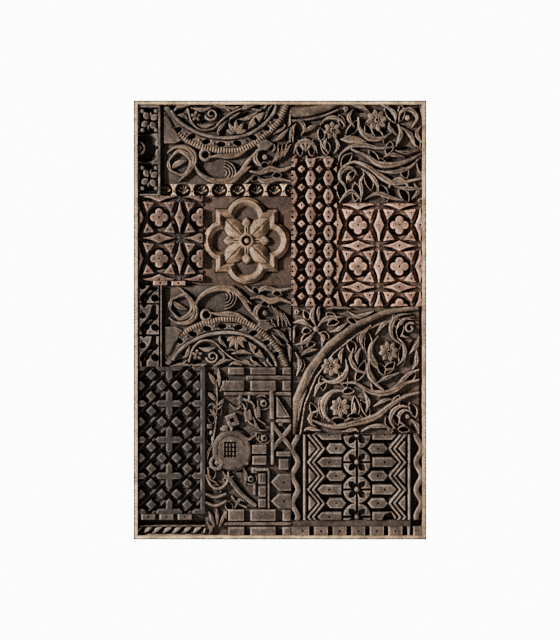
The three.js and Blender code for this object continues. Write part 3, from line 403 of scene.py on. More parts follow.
def fill(design, least, keep_out=()):
    """Leaves and curls in the bare ground, where it is at least so far from the laid-out figures."""
    step = 3.0                  # spacing of the spots that are tried
    gap, most = 3.6, 120        # ground left between figures, and how many figures at most
    longest, widest = 34, 9.5   # a leaf's half length and half width at most
    x, y = np.meshgrid(np.arange(step / 2, design.width, step), np.arange(step / 2, design.height, step))
    cover = coverage(design.figures, x, y)
    for shape in keep_out:
        cover = np.maximum(cover, shape.inside(x, y)[0])
    border = np.minimum(np.minimum(x, design.width - x), np.minimum(y, design.height - y))
    made = 0
    while made < most:
        room = np.minimum(-cover, border + 9.0)
        spot = np.unravel_index(np.argmax(room), room.shape)
        here = room[spot]
        if here < least:
            break
        cx, cy = x[spot], y[spot]
        best = None
        for turn in range(0, 180, 20):
            cos, sin = direction(turn)
            ends = []
            for sign in (1, -1):
                reach = here * 0.5
                while reach < min(here * 3.2, longest):
                    i = int(round((cy + sign * sin * reach - step / 2) / step))
                    j = int(round((cx + sign * cos * reach - step / 2) / step))
                    if not (0 <= i < room.shape[0] and 0 <= j < room.shape[1]) or room[i, j] < gap + 0.6:
                        break
                    reach += step / 2
                ends.append(reach)
            if best is None or sum(ends) > best[0]:
                best = (sum(ends), turn, ends)
        _, turn, (ahead, behind) = best
        cos, sin = direction(turn)
        half = min(here - gap, widest)
        if ahead + behind < here * 2.3 and here > 10:
            radius = half * 0.68
            shape = spiral(cx, cy, radius, radius * 0.35, 37 * made, 0.9, half * 0.62, half * 0.5)
            design.round(shape, 0.92, half * 0.3)
            cover = np.maximum(cover, disc(cx, cy, half).inside(x, y)[0])
        else:
            base = (cx - cos * behind, cy - sin * behind)
            tip = (cx + cos * ahead, cy + sin * ahead)
            bow = half * (0.35 if made % 2 else -0.35)
            width = half * 2.1
            design.crescent([base, (cx - sin * bow * 2, cy + cos * bow * 2), tip], half * 1.25, 0.92)
            shift = -half * (0.5 if made % 2 else -0.5)
            near, far = behind * 0.55, ahead * 0.55
            hole = leaf((cx - cos * near - sin * shift, cy - sin * near + cos * shift),
                        (cx + cos * far - sin * shift, cy + sin * far + cos * shift), half * 0.95, bow * 0.5)
            design.sink(hole, 0.04, 2.4)
            cover = np.maximum(cover, leaf(base, tip, width, bow).inside(x, y)[0])
        made += 1


def repeats(face, pitch, first):
    """The middles of a repeating pattern, from one row and column outside the face."""
    for i in range(-1, int(face[0] / pitch[0]) + 2):
        for j in range(-1, int(face[1] / pitch[1]) + 2):
            yield first[0] + i * pitch[0], first[1] + j * pitch[1]


def lattice(width, height):
    """Crossing circles, with a quatrefoil in each and tiles between them."""
    d = Design(width, height)
    pitch, first, circle, rib = 113.0, 58.5, 76.6, 6.6
    low, high = (0.0, 0.0), (width, height)

    def from_middle(x, y):
        return ((x - first + pitch / 2) % pitch - pitch / 2, (y - first + pitch / 2) % pitch - pitch / 2)

    def ribs(x, y):
        dx, dy = from_middle(x, y)
        best = np.abs(np.hypot(dx, dy) - (pitch - circle))
        for i in (-1, 0, 1):
            for j in (-1, 0, 1):
                best = np.minimum(best, np.abs(np.hypot(dx - i * pitch, dy - j * pitch) - circle))
        return rib - 1.0 - best, None

    def pockets(x, y):
        return pitch - circle - rib - np.hypot(*from_middle(x, y)), None

    d.ground(0.05)
    d.round(Shape(low, high, ribs), 0.5, 5.0)
    d.sink(Shape(low, high, pockets), 0.0, 3.0)
    for cx, cy in repeats((width, height), (pitch, pitch), (first, first)):
        for a, b in ((1, 0), (0, 1), (-1, 0), (0, -1)):
            d.flat(disc(cx + a * 14.0, cy + b * 14.0, 10.0), 1.0, 2.2)
        d.flat(box(cx, cy, 13, 13, 45), 1.0, 2.2)
        d.nail(cx, cy)
        for a, b in ((0.5, 0), (0, 0.5)):
            lx, ly = cx + a * pitch, cy + b * pitch
            half = ((13.5, 0), (4.5, 20), (0, 44), (-4.5, 20), (-13.5, 0), (-4.5, -20), (0, -44), (4.5, -20))
            d.flat(polygon([(lx + dx, ly + dy) if a else (lx + dy, ly + dx) for dx, dy in half]), 1.0, 2.2)
            d.nail(lx, ly)
        for a, b in ((1, 1), (-1, 1), (1, -1), (-1, -1)):
            corners = ((43, 43), (14, 39), (24, 26), (33, 16))
            d.flat(polygon([(cx + a * dx, cy + b * dy) for dx, dy in corners]), 1.0, 2.2)
            d.nail(cx + a * 32, cy + b * 34, 1.6)
        d.flat(disc(cx + pitch / 2, cy + pitch / 2, 4.2), 0.6, 2.0)
    return d


def hexagons(width, height):
    """Columns of hexagon tiles with small squares between them."""
    d = Design(width, height)
    px, py = 49.3, 49.7
    for cx, cy in repeats((width, height), (px, py), (3.3, 3.5)):
        d.flat(box(cx, cy + py / 2, 3.2, 9.0), 0.55, 2.0)
        d.flat(polygon([(cx + 13.8, cy), (cx + 5.6, cy + 19.2), (cx - 5.6, cy + 19.2),
                        (cx - 13.8, cy), (cx - 5.6, cy - 19.2), (cx + 5.6, cy - 19.2)]))
        d.nail(cx, cy - 7, 1.9)
        d.nail(cx, cy + 7, 1.9)
        d.flat(box(cx + px / 2, cy + py / 2, 6.8, 6.8, 45), 1.0, 2.2)
        d.nail(cx + px / 2, cy + py / 2, 1.4)
        d.round(stroke([(cx + px / 2 - 4, cy + 2), (cx + px / 2 + 4, cy - 2)], 5, smooth=False), 0.3, 3)
    return d


def pegs(width, height):
    """Square pegs and crosses over slanted bars."""
    d = Design(width, height)
    pitch = 99.0
    d.ground(0.12)
    middles = list(repeats((width, height), (pitch, pitch), (36.6, 51.1)))
    for cx, cy in middles:
        for a, b in ((1, 1), (1, -1), (-1, 1), (-1, -1)):
            d.sink(disc(cx + a * 30, cy + b * 30, 13.5), -0.1, 4)
        d.sink(box(cx, cy, 15, 15, 0), 0.0, 4)
        for shift in (-29, 0, 29):
            d.round(stroke([(cx - 38 + shift, cy + 38 + shift), (cx + 38 + shift, cy - 38 + shift)], 8,
                           smooth=False), 0.42, 4)
    for cx, cy in middles:
        for a, b in ((1, 0), (0, 1), (-1, 0), (0, -1)):
            d.flat(box(cx + a * 29.3, cy + b * 29.3, 9.6, 9.6, 45), 1.0, 2.2)
        sx, sy = cx + pitch / 2, cy + pitch / 2
        d.flat(polygon([(sx + 37, sy), (sx + 29, sy + 8), (sx - 29, sy + 8),
                        (sx - 37, sy), (sx - 29, sy - 8), (sx + 29, sy - 8)]))
        d.flat(polygon([(sx, sy + 37), (sx + 8, sy + 29), (sx + 8, sy - 29),
                        (sx, sy - 37), (sx - 8, sy - 29), (sx - 8, sy + 29)]))
        d.flat(box(sx, sy, 12, 12, 45), 1.0, 2.4)
    d.flat(span(width - 12, -5, width + 5, height + 5))
    return d


def scallops(width, height):
    """Round hollows, each with a fan of ribs."""
    d = Design(width, height)
    pitch, first, radius = 50.0, 11.5, 19.5
    mid = height / 2 + 1
    d.face()
    for i in range(-1, int(width / pitch) + 2):
        cx = first + i * pitch
        d.sink(disc(cx, mid, radius), 0.0, 3.0)
        for turn in (150, 120, 90, 60, 30):
            cos, sin = direction(turn)
            d.round(stroke([(cx, mid + 9), (cx + 15 * cos, mid + 9 - 20 * sin)], 2, 6, smooth=False), 0.42, 3)
        d.nail(cx + pitch / 2, mid + 4)
    return d


def arch(width, height, upside_down=False):
    """A hanging arc with a ribbed border, scrolls above and below it."""
    d = Design(width, height, upside_down)
    at, pts = d.at, d.pts
    flip = -1 if upside_down else 1
    d.ground(SCROLL_GROUND)
    outer = pts([(-1, 9), (6, 27), (15.5, 42), (32, 54), (51.5, 58.5), (63, 55), (74, 45.5), (84, 32),
                 (91, 18), (97, -3)])
    middle = pts([(2, 6), (8, 24), (17, 35.5), (31.5, 46), (48.5, 50), (60, 47.5), (71, 40.5), (80.5, 29),
                  (88, 14), (93, -3)])
    inner = pts([(6, 9), (10, 18), (17.7, 28), (31.8, 38.3), (50, 42), (66.9, 37), (80, 22.9), (87, 8.2),
                 (89, -3)])
    d.round(stroke(outer, 17, per_span=4), 0.92, 8)
    d.ribbed(stroke(outer, 15, per_span=4), 0.14, 7.5)
    d.flat(stroke(middle, 17, per_span=4), 0.74, 2)
    for across, down in ((10.8, 31.9), (21.8, 40.0), (33.2, 46.5), (45.1, 49.8), (58.0, 48.2), (70.0, 41.0),
                         (80.0, 29.0), (87.5, 14)):
        x, y = at(across, down)
        d.sink(oval(x, y, 10.5, 6.2, (48 - across) * -0.75 * flip), 0.05, 2.0)
    for across, down in ((16.5, 37), (27.5, 44.5), (39, 49.5), (51.5, 50), (64, 45.5), (75.5, 35.5),
                         (84, 22)):
        x, y = at(across, down)
        d.round(disc(x, y, 3.6), 1.0, 3)
    d.flat(stroke(inner, 7.5, per_span=4), 1.0, 2)
    d.flat(polygon(pts([(-2, 12), (3, 15), (8, 31), (13.5, 44.5), (8.4, 48.5), (-2, 48.5)])), 1.0)
    # inside the arc
    tendril = pts([(18.8, 6), (22, 22), (29, 31.5), (39, 30), (46, 19), (56, 8), (72, 0)])
    d.round(stroke(tendril, 8, 6), 0.95, 4)
    x, y = at(25.2, 14.5)
    d.petals(x, y, 15, 5, 90, 0.32)
    x, y = at(37.4, 12)
    d.round(spiral(x, y, 17, 5, 200, 1.3, 8, 6), 0.92, 4)
    x, y = at(56.8, 36.5)
    for turn, reach in ((90, 40), (55, 38), (125, 38), (20, 33), (160, 30)):
        cos, sin = direction(turn * flip)
        d.veined((x, y), (x + reach * cos, y - reach * sin), 13.5, 0, 0.95)
    d.veined(at(66, 31), at(80, 9), 22, 3 * flip, 0.95)
    d.sink(oval(*at(73, 20.6), 9, 4, 60 * flip), 0.35, 2.0)
    d.veined(at(60, 6), at(69, 2), 14, 2, 0.9)
    d.round(stroke(pts([(79, 4), (83, -3)]), 8), 0.9, 4)
    # below the arc: the ring scroll
    d.hook(12.5, 74, 34, 175, -150, 17, 1.0)
    d.hook(12.5, 74, 31, 150, 235, 11, 0.9)
    d.veined(at(5, 82), at(18.5, 70), 17, 5 * flip, 0.85)
    d.stem([(3, 60), (9, 54), (17, 54), (23, 61), (24, 72), (20, 84), (12, 96)], 17, 1.0, 5)
    # the long leafy scroll
    d.stem([(22, 66), (26, 82), (33, 92), (43, 97), (53, 95.5), (61, 85), (67, 70), (77, 54)], 19, 1.0, 6)
    for ring_radius, wide in ((9, 6), (17, 7), (25, 7), (33, 7)):
        x, y = at(47, 86)
        d.round(arc(x, y, ring_radius, -50 * flip, 85 * flip, wide, wide * 0.6), 0.97, 3.2)
    # the small curl with its eye
    x, y = at(32.3, 63.4)
    d.round(disc(x, y, 18), 0.97, 7)
    d.sink(disc(x + 1, y - 1, 8.6), 0.0, 2.4)
    d.stem([(35, 67), (42, 64.5), (50, 65), (59, 63), (66, 56)], 15, 1.0, 5)
    # right side
    d.hook(78.8, 66, 24, 60, 330, 14)
    d.round(disc(*at(79.5, 66), 8), 0.85, 4)
    d.hollow((77, 78), (82, 76), 9)
    for shift in (0, 3.4, 6.8, 10.2):
        d.stem([(84 + shift, 76 - shift), (89 + shift * 0.9, 64 - shift), (90 + shift, 50)], 7, 0.95)
    d.flat(polygon(pts([(73, 50), (80, 44), (86, 49), (82, 55), (75, 56)])), 0.95, 2.2)
    d.stem([(86, 46), (91, 42), (98, 30)], 13)
    d.stem([(68, 84), (76, 86), (84, 81), (92, 83), (101, 78)], 17, 1.0, 6)
    d.stem([(64, 99), (71, 92), (80, 97), (90, 94), (101, 97)], 15, 0.95, 5)
    d.hollow((70, 96), (74, 91), 8)
    d.hollow((86, 90), (92, 89), 8)
    d.stem([(60, 92), (63, 84), (69, 77)], 11)
    inner_zone = polygon(pts([(0, 48), (12, 44), (32, 56), (51, 62), (64, 60), (74, 50), (86, 60), (100, 60),
                              (100, 100), (0, 100)]))
    fill(d, least=8.5, keep_out=(inner_zone,))
    return d


def vine(width, height):
    """Leafy stems and two flowers."""
    d = Design(width, height)
    at, pts = d.at, d.pts
    d.ground(SCROLL_GROUND)
    for first, second, wide in (((37, 79), (38, 95), 16), ((49, 80), (49, 97), 15), ((56, 66), (61, 86), 15),
                                ((63, 57), (73, 62), 14), ((84, 64), (88, 74), 13), ((67, 81), (73, 97), 14),
                                ((83, 86), (89, 98), 14), ((60, 47), (66, 60), 11), ((51, 16), (42, 31), 14),
                                ((62, 24), (70, 37), 12), ((72, 4), (79, 17), 14), ((84, 1), (83, 16), 11),
                                ((22, 24), (23, 36), 11), ((24, 36), (27, 50), 15), ((14, 42), (16, 51), 9),
                                ((37, 11), (39, 23), 9), ((39, 62), (46, 50), 13), ((57, 20), (60, 36), 12),
                                ((76, 38), (73, 49), 12), ((92, 33), (98, 42), 11), ((97, 52), (99, 68), 11),
                                ((43, 78), (49, 67), 9), ((5, 42), (7, 51), 9)):
        d.hollow(first, second, wide)
    d.round(stroke(pts([(-5, 7), (8, 7.5), (22, 4), (38, -4)]), 30, 20), 0.9, 12)
    d.round(stroke(pts([(-3, 15.5), (10, 15.5), (24, 11.5), (36, 5)]), 6, 5), 0.97, 3)
    d.petals(*at(65.5, 15.6), 29, 8, 10, 0.24, 0.55)
    d.hook(65.5, 15.6, 52, 170, 320, 19)
    d.hook(65.5, 15.6, 47, 20, 110, 13)
    d.petals(*at(31.5, 26), 24, 7, 90, 0.26, 0.55)
    d.hook(31.5, 27, 38, 20, 150, 12)
    d.stem([(27, 34), (25, 42), (28, 48)], 11)
    d.stem([(34, 34), (36, 42), (33, 49)], 11)
    d.veined(at(37, 35), at(58, 38), 23, 3, 1.0)
    d.hook(11, 49, 32, 0, 180, 17)
    for across, down in ((5, 34.5), (11, 32), (17, 34.5)):
        d.veined(at(11, 48), at(across, down), 9, 0, 0.95)
    d.hook(4, 24, 22, -50, 120, 12)
    d.veined(at(9, 29), at(21, 20), 13, 3, 0.95)
    d.stem([(99, 50), (89, 57), (78, 61), (67, 60), (58, 52), (46, 45)], 17, 1.0, 5)
    d.stem([(98, 54), (91, 63), (81, 68), (71, 68), (63, 65)], 12)
    d.stem([(102, 74), (92, 77), (80, 80), (70, 74), (60, 64), (49, 58), (40, 62)], 16, 1.0, 5)
    d.stem([(102, 85), (90, 85), (79, 83)], 12)
    d.stem([(36, 58), (38, 50), (45, 43), (56, 41), (68, 44), (81, 42)], 13)
    d.hook(44, 73, 25, 10, 250, 15)
    d.round(disc(*at(44, 74), 8), 0.9, 5)
    d.stem([(66, 92), (66, 82), (62, 73), (54, 65)], 12)
    d.stem([(53, 98), (54, 88), (53, 78), (56, 70)], 11)
    d.hook(82, 86, 27, -10, 170, 14)
    d.stem([(37, 99), (41, 92), (47, 88), (54, 97)], 13)
    d.stem([(56, 96), (66, 90), (76, 94), (88, 98)], 14)
    d.stem([(94, 80), (97, 88), (92, 96)], 11)
    d.hook(89, 14, 26, -60, 200, 13)
    d.round(disc(*at(89, 13), 8), 0.9, 5)
    d.stem([(82, 20), (84, 30), (80, 42)], 15)
    d.stem([(83, 22), (91, 30), (95, 42)], 14)
    d.stem([(99, 22), (96, 30), (101, 40)], 12)
    d.stem([(47, 5), (44, 13), (48, 22)], 12)
    d.stem([(75, 3), (79, 8), (80, 16)], 10)
    fill(d, least=13.5)
    return d


def large_vine(width, height):
    """Stems and three flowers inside a quarter-circle bead."""
    d = Design(width, height)
    at = d.at
    d.ground(SCROLL_GROUND)
    for first, second, wide in (((22, 55), (24, 65), 12), ((37, 52), (42, 63), 13), ((44, 27), (48, 36), 15),
                                ((52, 27), (57, 20), 10), ((59, 20), (59, 38), 13), ((86, 31), (86, 46), 12),
                                ((80, 44), (71, 52), 13), ((80, 7), (84, 18), 12), ((57, 43), (50, 58), 13),
                                ((63, 58), (68, 70), 14), ((22, 72), (24, 87), 14), ((29, 90), (44, 91), 12),
                                ((49, 71), (49, 88), 13), ((54, 74), (60, 86), 12), ((84, 70), (78, 80), 12),
                                ((74, 86), (78, 98), 12), ((8, 32), (13, 21), 12), ((27, 6), (34, 12), 13),
                                ((22, 21), (28, 25), 10), ((14, 76), (18, 86), 11), ((91, 60), (97, 52), 10),
                                ((93, 76), (97, 86), 11), ((5, 40), (7, 50), 10)):
        d.hollow(first, second, wide)
    cx, cy = at(100.8, 101.3)
    radius = width * 1.02
    d.round(arc(cx, cy, radius, 91, 179, 12, 25, 21), 1.0, 9)
    d.round(arc(cx, cy, radius * 0.93, 93, 179, 4, 6), 0.85, 2.6)
    for across, down, turn in ((30.4, 46.7, 0), (76.3, 35.2, 12), (37.5, 78.8, 5)):
        d.petals(*at(across, down), 27, 8, turn, 0.22, 0.55, 1.0)
    d.hook(30.4, 46.7, 44, 25, -125, 17)
    d.hook(76.3, 35.2, 51, 125, 290, 20)
    d.hook(76.3, 35.2, 44, 60, -60, 12)
    d.hook(37.5, 78.8, 47, 70, 255, 19)
    d.hook(37.5, 78.8, 40, 20, -70, 13)
    d.stem([(102, 67), (90, 70), (78, 77), (66, 86), (50, 91), (32, 94), (12, 88)], 17, 1.0, 6)
    d.stem([(102, 57), (90, 60), (80, 66), (70, 68), (60, 66), (50, 60), (40, 60)], 15, 1.0, 6)
    d.stem([(101, 49), (92, 53), (84, 61), (76, 66)], 12)
    d.stem([(74, 67), (66, 60), (60, 50), (62, 38)], 17, 1.0)
    d.stem([(60, 52), (52, 50), (46, 42), (48, 33)], 14)
    d.stem([(66, 60), (74, 56), (84, 52)], 12)
    d.stem([(58, 83), (60, 75), (56, 66)], 13)
    d.stem([(64, 78), (74, 73), (80, 73)], 10)
    d.hook(90.5, 18, 44, 75, 250, 14)
    d.hook(92, 17, 27, 60, 280, 12)
    d.round(spiral(*at(93, 17), 15, 5, 60, 1.0, 8, 6), 0.95, 4)
    d.hook(88, 88, 36, 60, 230, 14)
    d.hook(90, 87, 21, 40, 260, 11)
    d.round(disc(*at(91, 86), 7), 0.9, 4)
    d.stem([(56, 34), (54, 24), (62, 15)], 13)
    d.stem([(66, 22), (72, 14), (80, 12)], 12)
    d.stem([(23, 42), (16, 50), (11, 62)], 12)
    d.stem([(11, 65), (6, 76), (4, 90)], 11)
    d.stem([(17, 70), (20, 62), (26, 59)], 11)
    d.hook(20, 88, 22, 90, 260, 12)
    d.stem([(54, 98), (62, 94), (74, 94), (80, 98)], 12)
    # the corner outside the bead
    for start_at, bend, tip_at, wide in (((19, 17), (26, 10), (40, 8), 15), ((18, 15), (15, 7), (18, -2), 14),
                                         ((16, 17), (8, 12), (-1, 13), 14), ((17, 20), (11, 27), (3, 30), 14),
                                         ((20, 20), (24, 24), (23, 31), 12), ((44, 4), (52, 8), (64, 4), 13),
                                         ((2, 36), (6, 44), (3, 54), 12), ((30, 20), (36, 18), (43, 13), 12)):
        d.stem([start_at, bend, tip_at], wide)
    d.round(disc(*at(18.5, 17.5), 9), 1.0, 5)
    for first, second, wide in (((28, 14), (36, 12), 9), ((9, 4), (12, 10), 9), ((8, 20), (14, 19), 9),
                                ((12, 31), (17, 29), 8), ((44, 10), (50, 13), 8), ((84, 96), (92, 97), 10),
                                ((44, 86), (54, 86), 9), ((68, 45), (72, 53), 11), ((40, 67), (48, 66), 9),
                                ((84, 24), (87, 14), 11), ((80, 85), (83, 92), 9)):
        d.hollow(first, second, wide)
    fill(d, least=15)
    return d


def quatrefoil(width, height):
    """A four-petal flower inside a barbed moulding."""
    d = Design(width, height)
    cx, cy = width / 2 - 1, height / 2
    square, lobe, out_x, out_y = 86, 57, 62, 63

    def barbed(shrink):
        """A square with a round lobe on each side, made smaller by shrink."""
        def inside(x, y):
            dx, dy = x - cx, y - cy
            best = (square - shrink) - np.maximum(np.abs(dx), np.abs(dy))
            for a, b in ((1, 0), (0, 1), (-1, 0), (0, -1)):
                best = np.maximum(best, (lobe - shrink) - np.hypot(dx - a * out_x, dy - b * out_y))
            return best, None

        far = lobe + out_y
        return Shape((cx - far, cy - far), (cx + far, cy + far), inside)

    d.face(0.3)
    d.sink(barbed(-1.5), 0.16, 2.0)
    d.figures.append(Figure(barbed(0), "moulding", 0.22, MOULDING_WIDTH))
    d.figures.append(Figure(barbed(MOULDING_WIDTH), "basin", BASIN_LEVEL, 6.0))
    for turn in (0, 90, 180, 270):
        cos, sin = direction(turn)
        stalk = [(cx + 12 * cos, cy - 12 * sin), (cx + 54 * cos, cy - 54 * sin)]
        d.round(stroke(stalk, 15, 11, smooth=False), 0.8, 5)
        cut = [(cx + 18 * cos, cy - 18 * sin), (cx + 48 * cos, cy - 48 * sin)]
        d.groove(stroke(cut, 4, smooth=False), 0.3)
        d.round(leaf((cx + 34 * cos, cy - 34 * sin), (cx + 64 * cos, cy - 64 * sin), 25), 0.8, 7)
    for turn in (45, 135, 225, 315):
        cos, sin = direction(turn)
        base, tip = (cx + 4 * cos, cy - 4 * sin), (cx + 86 * cos, cy - 86 * sin)
        d.figures.append(Figure(leaf(base, tip, 50), "folded", 1.0, 17))
        cut = [(cx + 22 * cos, cy - 22 * sin), (cx + 84 * cos, cy - 84 * sin)]
        d.groove(stroke(cut, 3.4, smooth=False), 0.3)
    d.round(disc(cx, cy, 22), 1.0, 7)
    d.sink(disc(cx, cy, 12), 0.3, 3)
    d.round(disc(cx, cy, 8.5), 0.85, 6)
    for a, b in ((1, 1), (-1, 1), (1, -1), (-1, -1)):
        d.nail(cx + a * 107, cy + b * 108, 2.0)
        d.nail(cx + a * 92, cy + b * 110, 1.5)
    return d


def roundels(width, height):
    """A column of roundels between tiles, zigzag ridges and waves."""
    d = Design(width, height)
    mid = width * 0.502
    pitch = 74.7
    rows = range(-1, int(height / pitch) + 3)
    for side in (-1, 1):
        for shift in (-6.5, 6.5):
            points = []
            for step in range(-2, 2 * len(rows)):
                offset = 126 if step % 2 == 0 else 96
                points.append((mid + side * (offset + shift), 0.5 + step * pitch / 2))
            d.round(stroke(points, 8.5, smooth=False), 0.95, 4)
    for row in rows:
        y = 0.5 + row * pitch
        d.flat(disc(mid, y, 37), 0.93, 2.4)
        for turn in (45, 135, 225, 315):
            cos, sin = direction(turn)
            d.sink(leaf((mid + 5 * cos, y - 5 * sin), (mid + 30 * cos, y - 30 * sin), 15), 0.3, 3)
        d.sink(stroke([(mid - 39, y), (mid + 39, y)], 3.4, smooth=False), 0.1, 2)
        d.sink(stroke([(mid, y - 39), (mid, y + 39)], 3.4, smooth=False), 0.1, 2)
        d.round(disc(mid, y, 7), 1.0, 5)
        between = y + pitch / 2
        for side in (-1, 1):
            bx = mid + side * 57
            d.flat(polygon([(bx - 27, between), (bx - 16, between - 13), (bx + 16, between - 13),
                            (bx + 27, between), (bx + 16, between + 13), (bx - 16, between + 13)]))
            d.nail(bx, between, 1.8)
            d.flat(polygon([(mid + side * 43, y - 12.5), (mid + side * 95, y - 12.5), (mid + side * 108, y),
                            (mid + side * 95, y + 12.5), (mid + side * 43, y + 12.5)]))
            d.nail(mid + side * 76, y, 1.8)
            edge = mid + side * 131.5
            d.flat(polygon([(edge, between - 21), (edge, between + 21), (mid + side * 113, between)]))
    for side in (-1, 1):
        wave = [(mid + side * (169 - 8 * math.cos(math.pi * step)), pitch * step / 2)
                for step in range(-1, 2 * len(rows))]
        d.round(stroke(wave, 15, per_span=4), 0.95, 4)
        d.round(stroke([(mid + side * 143, -5), (mid + side * 143, height + 5)], 9, smooth=False), 1.0, 4)
    # the chipped corner near the foot
    d.sink(polygon([(width * 0.70, height + 2), (width * 0.72, height - 12), (width * 0.76, height - 18),
                    (width * 0.79, height + 2)]), 0.0, 4)
    return d


def flower_strip(width, height):
    """Two sunk flowers and a round boss at the edge."""
    d = Design(width, height)
    at, pts = d.at, d.pts
    d.face()
    for top, bottom in ((4, 31), (66.5, 95)):
        d.sink(span(width * 0.12, height * top / 100, width * 0.88, height * bottom / 100), 0.0)
        cy = (top + bottom) / 2
        x, y = at(53, cy)
        for turn in (35, 125, 215, 305):
            cos, sin = direction(turn)
            d.flat(leaf((x + 5 * cos, y - 5 * sin), (x + 27 * cos, y - 27 * sin), 16), 1.0)
        for down in (top + 3, bottom - 3):
            for across in (20, 82):
                d.flat(disc(*at(across, down), 5))
        for turn in (80, 260):
            cos, sin = direction(turn)
            d.round(leaf((x + 6 * cos, y - 6 * sin), (x + 25 * cos, y - 25 * sin), 9), 0.9, 4)
    d.sink(disc(*at(34, 48), 37), 0.0)
    d.flat(disc(*at(2, 47.9), 19), 0.95)
    d.sink(ring(*at(2, 47.9), 12, 3.5), 0.3, 2)
    d.flat(polygon(pts([(100, 36), (78, 41), (84, 48), (78, 55), (100, 60)])))
    d.sink(span(width * 0.82, height * 0.46, width * 0.9, height * 0.485), 0.2, 2)
    d.sink(span(width * 0.05, height * 0.315, width * 0.6, height * 0.328), 0.2, 2)
    d.sink(span(width * 0.05, height * 0.645, width * 0.6, height * 0.657), 0.2, 2)
    d.sink(span(-5, height * 0.963, width * 0.86, height * 0.975), 0.1, 2)
    return d


def leaf_strip(width, height):
    """Leaf-shaped hollows along a wavy stem."""
    d = Design(width, height)
    at = d.at
    d.face()
    d.sink(span(width * 0.9, -5, width * 0.925, height + 5), 0.1, 1.6)
    for first, length in ((-9, 34), (26, 36.5), (63, 36.5)):
        a, b, c = (at(50, first + length * share) for share in (0.02, 0.5, 0.98))
        d.sink(stroke([(a[0] + 12, a[1]), (a[0] + 8, a[1] + 22), (b[0] - 2, b[1] + 2), (b[0] - 14, b[1] + 14),
                       (c[0] - 15, c[1])], 9, 9, 17), 0.0)
        d.sink(leaf((b[0] - 4, b[1]), (b[0] - 24, c[1] - 14), 20, 3), 0.0)
        d.sink(leaf((b[0] + 2, b[1] - 4), (b[0] + 22, a[1] + 22), 19, 3), 0.0)
        d.sink(leaf((b[0] - 12, b[1] - 12), (b[0] - 26, b[1] - 20), 13, 0), 0.0)
        d.sink(leaf((b[0] + 6, b[1] + 12), (b[0] + 24, b[1] + 22), 15, 0), 0.0)
        d.round(leaf((b[0] - 10, b[1] + 8), (b[0] + 10, b[1] - 6), 8, 2), 0.7, 4)
        d.round(leaf((b[0] - 12, b[1] + 14), (b[0] - 16, c[1] - 12), 6, 0), 0.5, 3)
        d.nail(b[0] - 22, a[1] + 12, 1.6)
        d.nail(b[0] + 20, c[1] - 12, 1.6)
    d.sink(span(-5, height * 0.222, width * 0.9, height * 0.232), 0.1, 1.6)
    d.sink(span(-5, height * 0.612, width * 0.9, height * 0.622), 0.1, 1.6)
    return d


